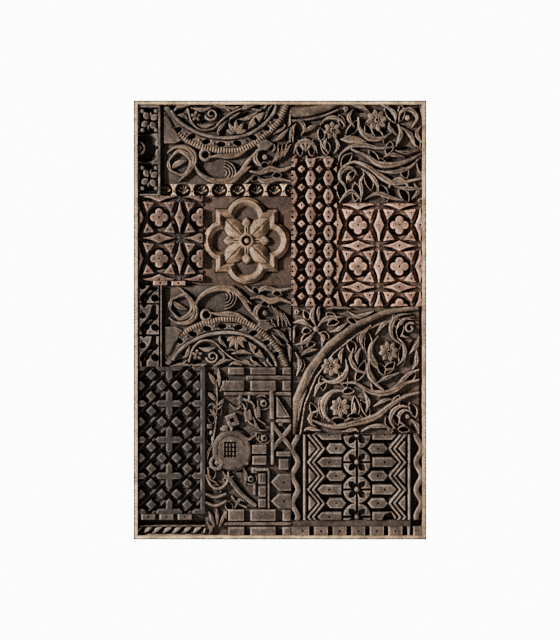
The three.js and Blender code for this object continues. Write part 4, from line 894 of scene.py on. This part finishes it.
def village(width, height):
    """Houses, a dome, a boat and plants, seen from the side."""
    d = Design(width, height)
    at, pts = d.at, d.pts

    def plate(left, right, top, bottom, level=1.0):
        d.flat(span(*at(left, top), *at(right, bottom)), level, 2.2)

    d.ground(SCROLL_GROUND)
    for first, second, wide in (((10, 23), (17, 28), 12), ((4, 29), (9, 33), 10), ((40, 20), (47, 25), 11),
                                ((13, 55), (20, 60), 12), ((5, 60), (9, 66), 11), ((33, 58), (40, 62), 11),
                                ((22, 67), (31, 70), 10), ((9, 71), (17, 74), 10), ((60, 40), (66, 44), 10),
                                ((3, 40), (6, 46), 10), ((50, 47), (54, 52), 10), ((24, 80), (30, 86), 11)):
        d.hollow(first, second, wide)
    # roofs and courses of blocks
    for first, top, bottom in ((27, 0.6, 4.4), (20, 8.4, 14), (27, 84.8, 91.3), (27, 95.2, 99.6)):
        for left, right in ((first, 45.3), (52.7, 82), (90.4, 100)):
            plate(left, right, top, bottom)
    for left, top, bottom in ((48, 5.4, 7.6), (22, 15.2, 16.8), (22, 92.4, 94)):
        d.flat(polygon(pts([(left, top), (101, top), (101, bottom), (left, bottom)])), 0.8, 2)
    x, y = at(31.3, 31.7)
    d.flat(box(x, y, 15, 16, -20), 1.0, 2.4)
    d.sink(box(x, y, 5, 5, -20), 0.4, 2)
    for across, down, radius in ((68.4, 21.8, 11), (69, 42.4, 10), (53.1, 66.6, 10)):
        x, y = at(across, down)
        d.round(disc(x, y, radius), 1.0, 6)
        d.sink(disc(x, y, radius * 0.35), 0.5, 2)
        d.round(arc(x, y, radius + 6, -200, 20, 5), 0.75, 2.2)
    plate(75.5, 79.8, 13, 31)
    d.flat(polygon(pts([(83.5, 30), (99, 30), (83.5, 17.5)])), 0.95, 2.4)
    d.groove(stroke(pts([(85, 20), (96, 29)]), 3), 0.3)
    plate(83, 100, 31.2, 33, 0.9)
    d.flat(stroke(pts([(79, 35), (101, 48.5)]), 10, smooth=False), 1.0)
    d.flat(stroke(pts([(101, 35), (79, 48.5)]), 10, smooth=False), 1.0)
    d.flat(box(*at(90, 41.7), 6, 9), 1.0)
    plate(77, 80, 33, 58)
    plate(83, 100, 50.5, 53)
    plate(86, 97, 55, 61)
    # dome with its window
    x, y = at(30.7, 49.5)
    d.sink(arc(x, y, 59, -70, 75, 12), 0.0, 3)
    d.flat(disc(x, y, 52), 0.92, 12)
    d.groove(arc(x, y, 40, 20, 200, 3), 0.2)
    for shift in (-18, -9, 0, 9):
        d.sink(stroke([(x + shift, y - 20), (x + shift, y + 18)], 3.2, smooth=False), 0.5, 2)
    for shift in (-20, -8, 4, 16):
        d.sink(stroke([(x - 20, y + shift), (x + 12, y + shift)], 3.2, smooth=False), 0.5, 2)
    d.flat(box(x - 4, y + 32, 30, 4), 1.0, 2.2)
    d.round(stroke([(x, y - 54), (x, y - 68)], 8, 4), 1.0, 4)
    d.round(disc(x, y - 60, 6), 1.0, 4)
    # plants at the upper left
    for x0, y0, x1, y1, wide in ((3, 3, 13, 12, 14), (15, 1, 16, 13, 12), (25, 7.5, 16, 15, 12),
                                 (2, 15, 13, 21, 14), (22, 19, 14, 23, 12), (4, 25, 14, 30, 12)):
        d.veined(at(x0, y0), at(x1, y1), wide, 2, 0.95)
    d.round(stroke(pts([(13, 8), (14, 20), (12, 34), (8, 46)]), 6, 6), 0.9, 3.5)
    for k, down in enumerate((35, 39, 43)):
        d.round(disc(*at(5 + 2 * k, down), 6.5), 0.9, 5)
        d.round(disc(*at(19 - k, down + 2), 5), 0.85, 4)
    d.round(stroke(pts([(38, 19), (46, 24), (50, 32), (60, 36)]), 8, 6), 0.9, 4)
    d.round(stroke(pts([(44, 19), (56, 22), (60, 30), (70, 34)]), 8, 6), 0.9, 4)
    d.flat(polygon(pts([(45, 27), (52, 25.5), (55, 31), (47, 33)])), 0.85, 2.2)
    # plates, wheel and boat
    plate(55.1, 71.2, 46.5, 51.5)
    plate(55.1, 71.2, 53, 58)
    plate(54, 60, 60, 63, 0.9)
    x, y = at(13, 57)
    d.flat(ring(x, y, 16, 8), 1.0, 2.2)
    d.round(disc(x, y, 6), 0.9, 4)
    d.round(stroke(pts([(1, 64.5), (7, 70.5), (16, 72.5), (25, 69), (27, 63)]), 10, 8), 1.0, 5)
    d.round(stroke(pts([(3, 60), (5, 66), (13, 69)]), 7, 5), 0.95, 3.5)
    d.round(stroke(pts([(1, 75.5), (12, 77.5), (24, 75.5)]), 9, 8), 1.0, 4.5)
    d.round(stroke(pts([(1, 80.5), (12, 82.5), (24, 80)]), 9, 8), 1.0, 4.5)
    d.flat(stroke(pts([(27.7, 66), (34, 70.5), (41, 75), (50, 79), (58, 82)]), 11, 9), 1.0)
    d.round(stroke(pts([(31, 77), (38, 81), (48, 83.5)]), 7, 6), 0.9, 3.5)
    plate(62, 70.5, 63.4, 69.5)
    plate(62, 70.5, 71, 77)
    plate(62, 70.5, 78.5, 83.3)
    for top, bottom in ((63.7, 73.4), (75.5, 84)):
        d.flat(polygon(pts([(86, bottom), (101, bottom), (101, top), (86, top),
                            (76.8, (top + bottom) / 2)])), 1.0)
        d.nail(*at(92, (top + bottom) / 2), 2)
    d.flat(polygon(pts([(52.7, 91), (62, 91), (62, 87), (52.7, 87)])), 1.0)
    # small figures and rails at the left, and lines in the open ground
    for points, wide in (([(2, 24), (8, 22), (14, 25), (20, 23)], 8), ([(10, 46), (4, 50), (2, 56)], 8),
                         ([(20, 62), (26, 66), (33, 65)], 9), ([(34, 84), (40, 79), (47, 80)], 8),
                         ([(42, 40), (50, 43), (58, 41)], 8), ([(56, 30), (62, 37), (72, 38)], 8),
                         ([(44, 60), (48, 64), (46, 70)], 8), ([(28, 22), (36, 25), (42, 23)], 8),
                         ([(6, 88), (9, 93), (5, 99)], 7), ([(60, 18), (66, 17), (72, 18)], 6)):
        d.crescent(pts(points), wide)
    for left, right, top, bottom in ((20, 26, 35, 38), (2, 8, 34, 36.5), (60, 64, 24, 30),
                                     (46, 50, 52, 58), (60, 74, 60.4, 61.8), (73, 75, 62, 84),
                                     (56, 59, 70, 76), (39, 43, 17, 22), (50, 52, 17, 21),
                                     (86, 90, 33.5, 35), (22, 25, 86, 90)):
        plate(left, right, top, bottom, 0.92)
    for across in (36, 44, 58, 66, 72):
        d.groove(stroke([at(across, 17), at(across, 30)], 2.6, smooth=False), 0.1)
        d.groove(stroke([at(across, 59), at(across, 68)], 2.6, smooth=False), 0.1)
    # plants at the foot
    for x0, y0, x1, y1, wide in ((3, 85, 11, 96, 13), (23, 85.5, 15, 96, 12), (13, 83.5, 13.5, 95, 12),
                                 (2, 92, 8, 99, 10)):
        d.veined(at(x0, y0), at(x1, y1), wide, 2, 0.95)
    return d


def tiles(width, height, first):
    """A row of flat tiles."""
    d = Design(width, height)
    pitch, length = 50.0, 37.0
    for i in range(int(width / pitch) + 1):
        left = first + i * pitch
        if left + length < width:
            d.flat(span(left, -5, left + length, height + 5), 1.0)
            d.nail(left + length / 2, height / 2, 1.6)
    return d


def dentils(width, height):
    """A row of tiles between narrow cuts."""
    d = Design(width, height)
    d.face()
    for i in range(6):
        x = 56 + 50.8 * i
        if x < width - 20:
            d.sink(span(x - 4.5, -5, x + 4.5, height + 5), 0.0, 2.4)
            d.nail(x - 25, height / 2, 1.8)
    for x in (310, 316):
        d.sink(span(x, -5, x + 1.6, height + 5), 0.4, 1.6)
    d.sink(span(326.5, -5, 331.5, height + 5), 0.0, 2.4)
    return d


def rope(width, height):
    """Slanted leaves between two thin rails."""
    d = Design(width, height)
    rail, pitch = 3.4, 27
    d.round(span(-5, -5, width + 5, rail), 0.8, 3)
    d.round(span(-5, height - rail, width + 5, height + 5), 0.8, 3)
    for i in range(int(width / pitch) + 2):
        x = i * pitch
        d.veined((x - 12, height * 0.86), (x + 13, height * 0.14), 11, 2.5, 0.95)
        d.round(disc(x + 13, height * 0.72, 2.6), 0.7, 2.4)
    return d


def lower_arch(width, height):
    return arch(width, height, True)


def upper_tiles(width, height):
    return tiles(width, height, 43)


def lower_tiles(width, height):
    return tiles(width, height, 10)


# Turning a design into a solid block


def blurred(field, cells):
    """The field's average over a square of cells to each side."""
    for axis in (0, 1):
        pad = [(0, 0), (0, 0)]
        pad[axis] = (cells + 1, cells)
        total = np.cumsum(np.pad(field, pad, mode="edge"), axis=axis)
        span_size = 2 * cells + 1
        ahead = np.take(total, range(span_size, total.shape[axis]), axis=axis)
        behind = np.take(total, range(0, total.shape[axis] - span_size), axis=axis)
        field = (ahead - behind) / span_size
    return field


def unevenness(x, y, seed):
    """Slow hand-cut waviness between 0 and 1, from waves of four lengths."""
    total = np.zeros(x.shape)
    for i, length in enumerate((61.0, 37.0, 17.0, 9.0)):
        turn = seed * 1.7 + i * 2.1
        total += np.sin((x * math.cos(turn) + y * math.sin(turn)) * 2 * math.pi / length + seed * 3.1 + i)
    return 0.5 + total / 8


def snapped(design, x, y, rows, columns, cell):
    """Moves the points near a figure's outline onto it, so that outlines are crisp."""
    edge = evaluate(design.figures, x, y)[1]
    for target in (0.0, -WALL):
        field = (edge - target).reshape(rows, columns)
        slope_y, slope_x = np.gradient(field, cell)
        steep = np.maximum(np.hypot(slope_x, slope_y), 0.35)
        near = np.abs(field) < 0.48 * cell    # so that no two points meet
        near[0, :] = near[-1, :] = near[:, 0] = near[:, -1] = False
        move = np.where(near, -field / steep ** 2, 0.0)
        move = np.clip(move, -0.5 * cell, 0.5 * cell)
        x = x + (move * slope_x).ravel()
        y = y + (move * slope_y).ravel()
    return x, y


def carve_block(name, design, settings, notch, seed):
    """A closed block with the design carved into its front, in the place of the CAD node of that name."""
    low, high = (Vector(corner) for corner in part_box(name))
    width, height = (high.x - low.x) / MM, (high.z - low.z) / MM
    cell = settings.cell / MM
    bpy.ops.object.select_all(action="DESELECT")
    bpy.ops.mesh.primitive_grid_add(
        x_subdivisions=max(4, round(width / cell)), y_subdivisions=max(3, round(height / cell)), size=1)
    piece = bpy.context.active_object
    piece.name = name + "_carved"
    mesh = piece.data
    spots = np.empty(len(mesh.vertices) * 3)
    mesh.vertices.foreach_get("co", spots)
    across, down = (spots[0::3] + 0.5) * width, (0.5 - spots[1::3]) * height
    order = np.lexsort((across.round(3), down.round(3)))
    columns = len(np.unique(across.round(3)))
    rows = len(order) // columns
    if notch:
        right, top = notch
        column_line = round(right / width * (columns - 1)) / (columns - 1) * width
        row_line = round(top / height * (rows - 1)) / (rows - 1) * height
        across = np.interp(across, (0, column_line, width), (0, right, width))
        down = np.interp(down, (0, row_line, height), (0, top, height))
    x, y = snapped(design, across[order], down[order], rows, columns, cell)
    level, _, rounded = evaluate(design.figures, x, y)
    level = level - HAND_WAVE * unevenness(x, y, seed)
    relief = level.reshape(rows, columns)
    # 0.5 where the surface is level with what is around it, more on edges and less in hollows; the wood
    # paints pale edges from it, partly wear and partly painted highlight, and painted shade in the hollows
    wear_and_shading = np.clip((relief - blurred(relief, 3)) * 1.6 + 0.5, 0, 1)
    broad = np.clip((relief - blurred(relief, 9)) * 0.9 + 0.5, 0, 1)
    spots[0::3][order] = low.x + x * MM
    spots[1::3][order] = low.y + (1 - np.clip(level, -0.3, 1)) * RELIEF * MM
    spots[2::3][order] = high.z - y * MM
    mesh.vertices.foreach_set("co", spots)
    for title, values in (("wear_and_shading", wear_and_shading), ("broad", broad), ("level", relief), ("rounded", rounded)):
        stored = np.empty(len(order))
        stored[order] = values.ravel()
        mesh.attributes.new(title, "FLOAT", "POINT").data.foreach_set("value", stored.astype(np.float32))
    mesh.update()
    bpy.ops.object.mode_set(mode="EDIT")
    if notch:
        bpy.ops.mesh.select_all(action="DESELECT")
        bpy.ops.object.mode_set(mode="OBJECT")
        edge_x, edge_z = low.x + notch[0] * MM, high.z - notch[1] * MM
        chosen = [p.center.x < edge_x and p.center.z < edge_z for p in mesh.polygons]
        mesh.polygons.foreach_set("select", chosen)
        bpy.ops.object.mode_set(mode="EDIT")
        bpy.ops.mesh.select_mode(type="FACE")
        bpy.ops.mesh.delete(type="FACE")
    bpy.ops.mesh.select_mode(type="VERT")
    bpy.ops.mesh.select_all(action="SELECT")
    bpy.ops.mesh.quads_convert_to_tris(quad_method="SHORTEST_DIAGONAL", ngon_method="BEAUTY")
    bpy.ops.mesh.select_all(action="SELECT")
    bpy.ops.mesh.region_to_loop()
    bpy.ops.mesh.extrude_region_move(TRANSFORM_OT_translate={"value": (0, RELIEF * MM, 0)})
    bpy.ops.transform.resize(value=(1, 0, 1), center_override=(0, high.y, 0))
    bpy.ops.mesh.edge_face_add()
    bpy.ops.mesh.select_all(action="SELECT")
    bpy.ops.mesh.normals_make_consistent(inside=False)
    bpy.ops.object.mode_set(mode="OBJECT")
    bpy.ops.object.shade_smooth_by_angle(angle=math.radians(38))
    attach(piece, "root")
    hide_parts(name)
    return piece


# Materials


def mixed(tree, factor, first, second, how="MIX"):
    """A colour mix; each input is a socket, a colour or a number."""
    made = tree.nodes.new("ShaderNodeMix")
    made.data_type = "RGBA"
    made.blend_type = how
    made.clamp_factor = True
    for socket, value in ((made.inputs[0], factor), (made.inputs[6], first), (made.inputs[7], second)):
        if isinstance(value, bpy.types.NodeSocket):
            tree.links.new(value, socket)
        else:
            socket.default_value = value
    return made.outputs[2]


def ramped(tree, source, low, high, out_low=0.0, out_high=1.0):
    """A smooth step of a value from low to high."""
    made = tree.nodes.new("ShaderNodeMapRange")
    made.interpolation_type = "SMOOTHSTEP"
    tree.links.new(source, made.inputs["Value"])
    for key, value in (("From Min", low), ("From Max", high), ("To Min", out_low), ("To Max", out_high)):
        made.inputs[key].default_value = value
    return made.outputs["Result"]


def noise(tree, place, scale, stretch, detail, roughness):
    mapping = tree.nodes.new("ShaderNodeMapping")
    mapping.inputs["Scale"].default_value = stretch
    tree.links.new(place, mapping.inputs["Vector"])
    made = tree.nodes.new("ShaderNodeTexNoise")
    made.inputs["Scale"].default_value = scale
    made.inputs["Detail"].default_value = detail
    made.inputs["Roughness"].default_value = roughness
    tree.links.new(mapping.outputs["Vector"], made.inputs["Vector"])
    return made.outputs["Fac"]


def stored(tree, name):
    """A value that carving a block has stored on its mesh."""
    made = tree.nodes.new("ShaderNodeAttribute")
    made.attribute_name = name
    return made.outputs["Fac"]


def scaled(colour, red, green, blue):
    return (colour[0] * red, colour[1] * green, colour[2] * blue, 1)


def wood(name, top, ground, carved, along, warmth=0.0, step=None, grain=0.5, shift=0.0):
    """Old oiled wood with grain along one axis, dust and pits. Carved blocks get light tops, rounded forms
    worn brown, and pale edges that are partly wear and partly painted highlight; their colour darkens with
    depth, in hollows and in broad dips, as painted shade.
    """
    material = bpy.data.materials.new(name)
    material.use_nodes = True
    tree = material.node_tree
    shader = tree.nodes["Principled BSDF"]
    place = tree.nodes.new("ShaderNodeTexCoord").outputs["Object"]
    moved = tree.nodes.new("ShaderNodeMapping")
    moved.inputs["Location"].default_value = (shift, shift * 0.7, shift * 1.3)
    tree.links.new(place, moved.inputs["Vector"])
    place = moved.outputs["Vector"]
    lengthways = {"x": (0.07, 1, 1), "z": (1, 1, 0.07), "y": (1, 0.07, 1)}[along]
    fibres = noise(tree, place, 420, lengthways, 4, 0.6)
    streaks = noise(tree, place, 70, lengthways, 3, 0.5)
    patches = noise(tree, place, 9, (1, 1, 1), 4, 0.6)
    pits = noise(tree, place, 260, (1, 1, 0.6), 2, 0.5)
    light, dark = (*top, 1), (*ground, 1)
    if carved:
        wear_and_shading = stored(tree, "wear_and_shading")
        bare = ramped(tree, stored(tree, "rounded"), 0.0, 1.0, 0.0, warmth)
        # painted shade: the colour goes from the top colour to the near-black ground colour as the carving
        # deepens
        raised = ramped(tree, stored(tree, "level"), *step)
        colour = mixed(tree, raised, dark, mixed(tree, bare, light, (*WORN_BROWN, 1)))
        # painted shade: concave spots are darkened toward a near-black ground colour
        hollow = ramped(tree, wear_and_shading, 0.50, 0.25, 0.0, 0.85)
        colour = mixed(tree, hollow, colour, scaled(ground, 0.35, 0.32, 0.3))
        # pale rim on convex edges: partly edge wear, partly a painted highlight
        rim = ramped(tree, wear_and_shading, 0.56, 0.80, 0.0, 0.9)
        pale = tuple(min(1.0, c * 2.4 + 0.04) for c in top)
        colour = mixed(tree, rim, colour, (*pale, 1))
        shade = ramped(tree, stored(tree, "broad"), 0.52, 0.15, 0.0, 0.45)
        colour = mixed(tree, shade, colour, scaled(ground, 0.5, 0.46, 0.44))
    else:
        colour = mixed(tree, ramped(tree, patches, 0.3, 0.7), dark, light)
    colour = mixed(tree, ramped(tree, streaks, 0.35, 0.7, 0.0, grain), colour, scaled(top, 0.55, 0.5, 0.48))
    colour = mixed(tree, ramped(tree, fibres, 0.45, 0.75, 0.0, grain * 0.7), colour,
                   scaled(ground, 0.8, 0.8, 0.8))
    colour = mixed(tree, ramped(tree, patches, 0.62, 0.3, 0.0, 0.4), colour, scaled(ground, 0.9, 0.9, 0.95))
    mottled = ramped(tree, noise(tree, place, 38, (1, 1, 1), 4, 0.7), 0.32, 0.68, 0.52, 1.42)
    colour = mixed(tree, 1.0, colour, mottled, "MULTIPLY")
    speckled = ramped(tree, noise(tree, place, 330, (1, 1, 1), 2, 0.6), 0.34, 0.66, 0.58, 1.42)
    colour = mixed(tree, 1.0, colour, speckled, "MULTIPLY")
    colour = mixed(tree, ramped(tree, pits, 0.66, 0.76, 0.0, 0.8), colour, scaled(ground, 0.4, 0.4, 0.4))
    tree.links.new(colour, shader.inputs["Base Color"])
    tree.links.new(ramped(tree, patches, 0.3, 0.7, 0.54, 0.72), shader.inputs["Roughness"])
    shader.inputs["Specular IOR Level"].default_value = 0.35
    uneven = mixed(tree, 0.5, fibres, pits)
    bump = tree.nodes.new("ShaderNodeBump")
    bump.inputs["Strength"].default_value = 0.35
    bump.inputs["Distance"].default_value = 0.0012
    tree.links.new(uneven, bump.inputs["Height"])
    tree.links.new(bump.outputs["Normal"], shader.inputs["Normal"])
    return material


def darken_outer_edge(material, half_width, half_height):
    """A thin dark line around the frame's outer edge, and dark sides."""
    line = 0.0042
    tree = material.node_tree
    base = tree.nodes["Principled BSDF"].inputs["Base Color"]
    colour = base.links[0].from_socket
    parts = tree.nodes.new("ShaderNodeSeparateXYZ")
    tree.links.new(tree.nodes.new("ShaderNodeTexCoord").outputs["Object"], parts.inputs[0])

    def maths(how, first, second=None):
        made = tree.nodes.new("ShaderNodeMath")
        made.operation = how
        for socket, value in zip(made.inputs, (first, second)):
            if isinstance(value, bpy.types.NodeSocket):
                tree.links.new(value, socket)
            elif value is not None:
                socket.default_value = value
        return made.outputs[0]

    across = maths("SUBTRACT", maths("ABSOLUTE", parts.outputs["X"]), half_width)
    up = maths("SUBTRACT", maths("ABSOLUTE", parts.outputs["Z"]), half_height)
    outside = ramped(tree, maths("MAXIMUM", across, up), -line, -line * 0.85, 0.0, 0.95)
    tree.links.new(mixed(tree, outside, colour, (0.012, 0.008, 0.006, 1)), base)


def paint(name, colour, roughness):
    material = bpy.data.materials.new(name)
    material.use_nodes = True
    shader = material.node_tree.nodes["Principled BSDF"]
    shader.inputs["Base Color"].default_value = (*colour, 1)
    shader.inputs["Roughness"].default_value = roughness
    return material


GREY_TOP, GREY_GROUND = (0.150, 0.106, 0.080), (0.022, 0.016, 0.013)
DARK_TOP, DARK_GROUND = (0.110, 0.079, 0.060), (0.018, 0.012, 0.009)
ROSE_TOP, ROSE_GROUND = (0.250, 0.144, 0.100), (0.020, 0.013, 0.010)
TAN_TOP, TAN_GROUND = (0.330, 0.225, 0.145), (0.018, 0.012, 0.009)
WORN_BROWN = (0.300, 0.190, 0.115)
LATH_LIGHT, LATH_DARK = (0.82, 0.59, 0.36), (0.34, 0.22, 0.13)

# Where the wood goes from its near-black ground colour to its top colour, as levels; the dark of the deep
# levels is painted shade
SCROLL_STEP, TILE_STEP = (0.03, 0.42), (0.4, 0.9)

# node: design, slot, top, ground, grain direction, brightness of the top, how brown the rounded forms are
BLOCKS = {
    "flower_strip": (flower_strip, "red_wood", DARK_TOP, DARK_GROUND, "z", 0.55, 0.3),
    "upper_arch_block": (arch, "dark_wood", GREY_TOP, GREY_GROUND, "x", 0.50, 0.6),
    "scallop_strip": (scallops, "light_wood", TAN_TOP, TAN_GROUND, "x", 1.0, 0.0),
    "left_lattice_block": (lattice, "red_wood", ROSE_TOP, ROSE_GROUND, "x", 0.42, 0.0),
    "upper_tile_strip": (upper_tiles, "red_wood", ROSE_TOP, ROSE_GROUND, "x", 0.8, 0),
    "quatrefoil_block": (quatrefoil, "red_wood", ROSE_TOP, GREY_GROUND, "x", 0.40, 1.0),
    "vine_block": (vine, "dark_wood", GREY_TOP, GREY_GROUND, "x", 0.75, 0.3),
    "hexagon_block": (hexagons, "red_wood", ROSE_TOP, ROSE_GROUND, "z", 0.98, 0),
    "right_lattice_block": (lattice, "red_wood", ROSE_TOP, ROSE_GROUND, "z", 1.5, 0),
    "leaf_strip": (leaf_strip, "red_wood", DARK_TOP, DARK_GROUND, "z", 0.43, 0.2),
    "lower_arch_block": (lower_arch, "dark_wood", GREY_TOP, GREY_GROUND, "x", 0.46, 0.6),
    "peg_block": (pegs, "dark_wood", DARK_TOP, DARK_GROUND, "z", 0.22, 0.1),
    "lower_tile_strip": (lower_tiles, "red_wood", DARK_TOP, DARK_GROUND, "x", 0.7, 0),
    "rope_strip": (rope, "dark_wood", GREY_TOP, GREY_GROUND, "x", 0.8, 0.2),
    "village_block": (village, "dark_wood", GREY_TOP, GREY_GROUND, "z", 0.52, 0.5),
    "large_vine_block": (large_vine, "dark_wood", GREY_TOP, GREY_GROUND, "x", 0.92, 0.4),
    "roundel_block": (roundels, "dark_wood", DARK_TOP, DARK_GROUND, "x", 0.95, 0.2),
    "dentil_strip": (dentils, "dark_wood", GREY_TOP, GREY_GROUND, "x", 0.8, 0.2),
}


def carve(names):
    """Carve the named blocks and give each its wood."""
    settings = bpy.context.scene.carved_panel
    for name in names:
        design, slot, top, ground, along, bright, warmth = BLOCKS[name]
        low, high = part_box(name)
        width, height = (high[0] - low[0]) / MM, (high[2] - low[2]) / MM
        notch = None
        if name == "vine_block":    # it reaches around the hexagon block
            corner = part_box("hexagon_block")[1]
            notch = ((corner[0] - low[0]) / MM + JOINT_GAP, (high[2] - corner[2]) / MM - JOINT_GAP)
        seed = 1.0 + 0.37 * list(BLOCKS).index(name)
        piece = carve_block(name, design(width, height), settings, notch, seed)
        top = tuple(bright * c for c in top)
        step = SCROLL_STEP if ground == GREY_GROUND else TILE_STEP
        made = wood(name + "_wood", top, ground, True, along, warmth, step, shift=seed)
        piece.data.materials.append(made)


class PanelSettings(bpy.types.PropertyGroup):
    cell: bpy.props.FloatProperty(
        name="Cell", description="Spacing of the carved surface's points", default=0.0017,
        min=0.0008, max=0.01, unit="LENGTH", subtype="DISTANCE")
    key_power: bpy.props.FloatProperty(
        name="Key light", description="Power of the light from the left", default=600.0, min=0.0,
        unit="POWER")
    fill_power: bpy.props.FloatProperty(
        name="Fill light", description="Power of the light from the upper right", default=2.0, min=0.0,
        unit="POWER")
    back_power: bpy.props.FloatProperty(
        name="Back light", description="Power of the light behind the panel", default=70.0, min=0.0,
        unit="POWER")
    air_light: bpy.props.FloatProperty(
        name="Air light", description="Strength of the light from all around", default=0.008, min=0.0)


class PANEL_OT_scroll_blocks(bpy.types.Operator):
    """Carve the four blocks of vines, scrolls and leaves"""
    bl_idname = "wall_panel.scroll_blocks"
    bl_label = "Scroll blocks"

    def execute(self, context):
        carve(("upper_arch_block", "lower_arch_block", "vine_block", "large_vine_block"))
        return {"FINISHED"}


class PANEL_OT_lattice_blocks(bpy.types.Operator):
    """Carve the two lattices of crossing circles"""
    bl_idname = "wall_panel.lattice_blocks"
    bl_label = "Lattice blocks"

    def execute(self, context):
        carve(("left_lattice_block", "right_lattice_block"))
        return {"FINISHED"}


class PANEL_OT_repeat_blocks(bpy.types.Operator):
    """Carve the hexagon, peg and roundel blocks"""
    bl_idname = "wall_panel.repeat_blocks"
    bl_label = "Repeating blocks"

    def execute(self, context):
        carve(("hexagon_block", "peg_block", "roundel_block"))
        return {"FINISHED"}


class PANEL_OT_picture_blocks(bpy.types.Operator):
    """Carve the quatrefoil block and the village block"""
    bl_idname = "wall_panel.picture_blocks"
    bl_label = "Picture blocks"

    def execute(self, context):
        carve(("quatrefoil_block", "village_block"))
        return {"FINISHED"}


class PANEL_OT_strips(bpy.types.Operator):
    """Carve the narrow strips between the blocks"""
    bl_idname = "wall_panel.strips"
    bl_label = "Strips"

    def execute(self, context):
        carve(("flower_strip", "leaf_strip", "scallop_strip", "upper_tile_strip", "lower_tile_strip",
               "rope_strip", "dentil_strip"))
        return {"FINISHED"}


def dress(name, material):
    """Give a CAD node a material."""
    found = bpy.data.objects.get(name)
    if found is None:
        raise RuntimeError("no CAD node " + name)
    found.data.materials.clear()
    found.data.materials.append(material)


class PANEL_OT_carrier(bpy.types.Operator):
    """Give the frame laths, the backing board and the plain strip their wood"""
    bl_idname = "wall_panel.carrier"
    bl_label = "Frame and board"

    def execute(self, context):
        half_width, half_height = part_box("frame_right")[1][0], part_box("frame_top")[1][2]
        for name, along in (("frame_left", "z"), ("frame_right", "z"), ("frame_top", "x"),
                            ("frame_bottom", "x")):
            made = wood(name + "_wood", LATH_LIGHT, LATH_DARK, False, along, grain=0.6,
                        shift=float(len(name)))
            darken_outer_edge(made, half_width, half_height)
            dress(name, made)
        for name, top, ground in (("backing_board", (0.17, 0.115, 0.075), (0.08, 0.053, 0.036)),
                                  ("plain_strip", (0.085, 0.058, 0.042), (0.045, 0.03, 0.022))):
            dress(name, wood(name + "_wood", top, ground, False, "x", grain=0.6, shift=2.0))
        return {"FINISHED"}


def lamp(name, place, size, size_y, power, colour):
    """A rectangular light that is aimed at the middle of the panel."""
    bpy.ops.object.light_add(type="AREA", location=place)
    light = bpy.context.active_object
    light.name = name
    light.data.shape = "RECTANGLE"
    light.data.size, light.data.size_y = size, size_y
    light.data.energy = power
    light.data.color = colour
    light.rotation_euler = (Vector((0, 0, 0)) - Vector(place)).to_track_quat("-Z", "Y").to_euler()


BACKDROP_BRIGHTNESS = 12.0
CAMERA_DISTANCE = 4.6
SENSOR_WIDTH = 36
FRONT_DEPTH = 0.05            # the panel's front lies about so far before its back
PANEL_HEIGHT = 1.2
PANEL_SHARE = 439.4 / 640     # of the picture's height that the panel takes up


class PANEL_OT_studio(bpy.types.Operator):
    """Add the floor, the lights and the camera"""
    bl_idname = "wall_panel.studio"
    bl_label = "Studio"

    def execute(self, context):
        settings = context.scene.carved_panel
        bpy.ops.object.select_all(action="DESELECT")
        bpy.ops.mesh.primitive_plane_add(size=6, location=(0, -0.6, -1.5))
        floor = context.active_object
        floor.name = "studio_floor"
        floor.data.materials.append(paint("studio_floor_paint", (0.8, 0.8, 0.79), 0.9))
        lamp("key_light", (-3.8, -2.1, 1.0), 0.3, 0.5, settings.key_power, (1.0, 0.96, 0.90))
        lamp("fill_light", (2.4, -3.0, 3.0), 2.2, 2.2, settings.fill_power, (0.95, 0.97, 1.0))
        lamp("back_light", (-1.6, 3.2, 2.6), 1.6, 1.6, settings.back_power, (1.0, 0.98, 0.95))
        world = bpy.data.worlds.new("studio_air")
        context.scene.world = world
        world.use_nodes = True
        tree = world.node_tree
        air = tree.nodes["Background"]
        air.inputs["Color"].default_value = (1, 1, 1, 1)
        # the backdrop that the camera sees is bright, and the light that it gives is weak
        rays = tree.nodes.new("ShaderNodeLightPath")
        strength = tree.nodes.new("ShaderNodeMapRange")
        tree.links.new(rays.outputs["Is Camera Ray"], strength.inputs["Value"])
        strength.inputs["To Min"].default_value = settings.air_light
        strength.inputs["To Max"].default_value = BACKDROP_BRIGHTNESS
        tree.links.new(strength.outputs["Result"], air.inputs["Strength"])
        bpy.ops.object.camera_add(location=(0, -CAMERA_DISTANCE, 0), rotation=(math.pi / 2, 0, 0))
        camera = context.active_object
        camera.name = "studio_camera"
        camera.data.sensor_width = SENSOR_WIDTH
        camera.data.lens = SENSOR_WIDTH * (CAMERA_DISTANCE - FRONT_DEPTH) / (PANEL_HEIGHT / PANEL_SHARE)
        context.scene.camera = camera
        return {"FINISHED"}


OPERATORS = (PANEL_OT_scroll_blocks, PANEL_OT_lattice_blocks, PANEL_OT_repeat_blocks, PANEL_OT_picture_blocks,
             PANEL_OT_strips, PANEL_OT_carrier, PANEL_OT_studio)


class PANEL_PT_sidebar(bpy.types.Panel):
    bl_idname = "PANEL_PT_sidebar"
    bl_label = "Wall panel"
    bl_space_type = "VIEW_3D"
    bl_region_type = "UI"
    bl_category = "Wall panel"

    def draw(self, context):
        settings = context.scene.carved_panel
        for name in ("cell", "key_power", "fill_power", "back_power", "air_light"):
            self.layout.prop(settings, name)
        for operator in OPERATORS:
            self.layout.operator(operator.bl_idname)


CLASSES = (PanelSettings, *OPERATORS, PANEL_PT_sidebar)


def register():
    for made in CLASSES:
        bpy.utils.register_class(made)
    bpy.types.Scene.carved_panel = bpy.props.PointerProperty(type=PanelSettings)


def unregister():
    del bpy.types.Scene.carved_panel
    for made in reversed(CLASSES):
        bpy.utils.unregister_class(made)


def main():
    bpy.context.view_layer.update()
    register()
    for operator in OPERATORS:
        group, name = operator.bl_idname.split(".")
        if getattr(getattr(bpy.ops, group), name)() != {"FINISHED"}:
            raise RuntimeError(operator.bl_label)


if __name__ == "__main__":
    main()
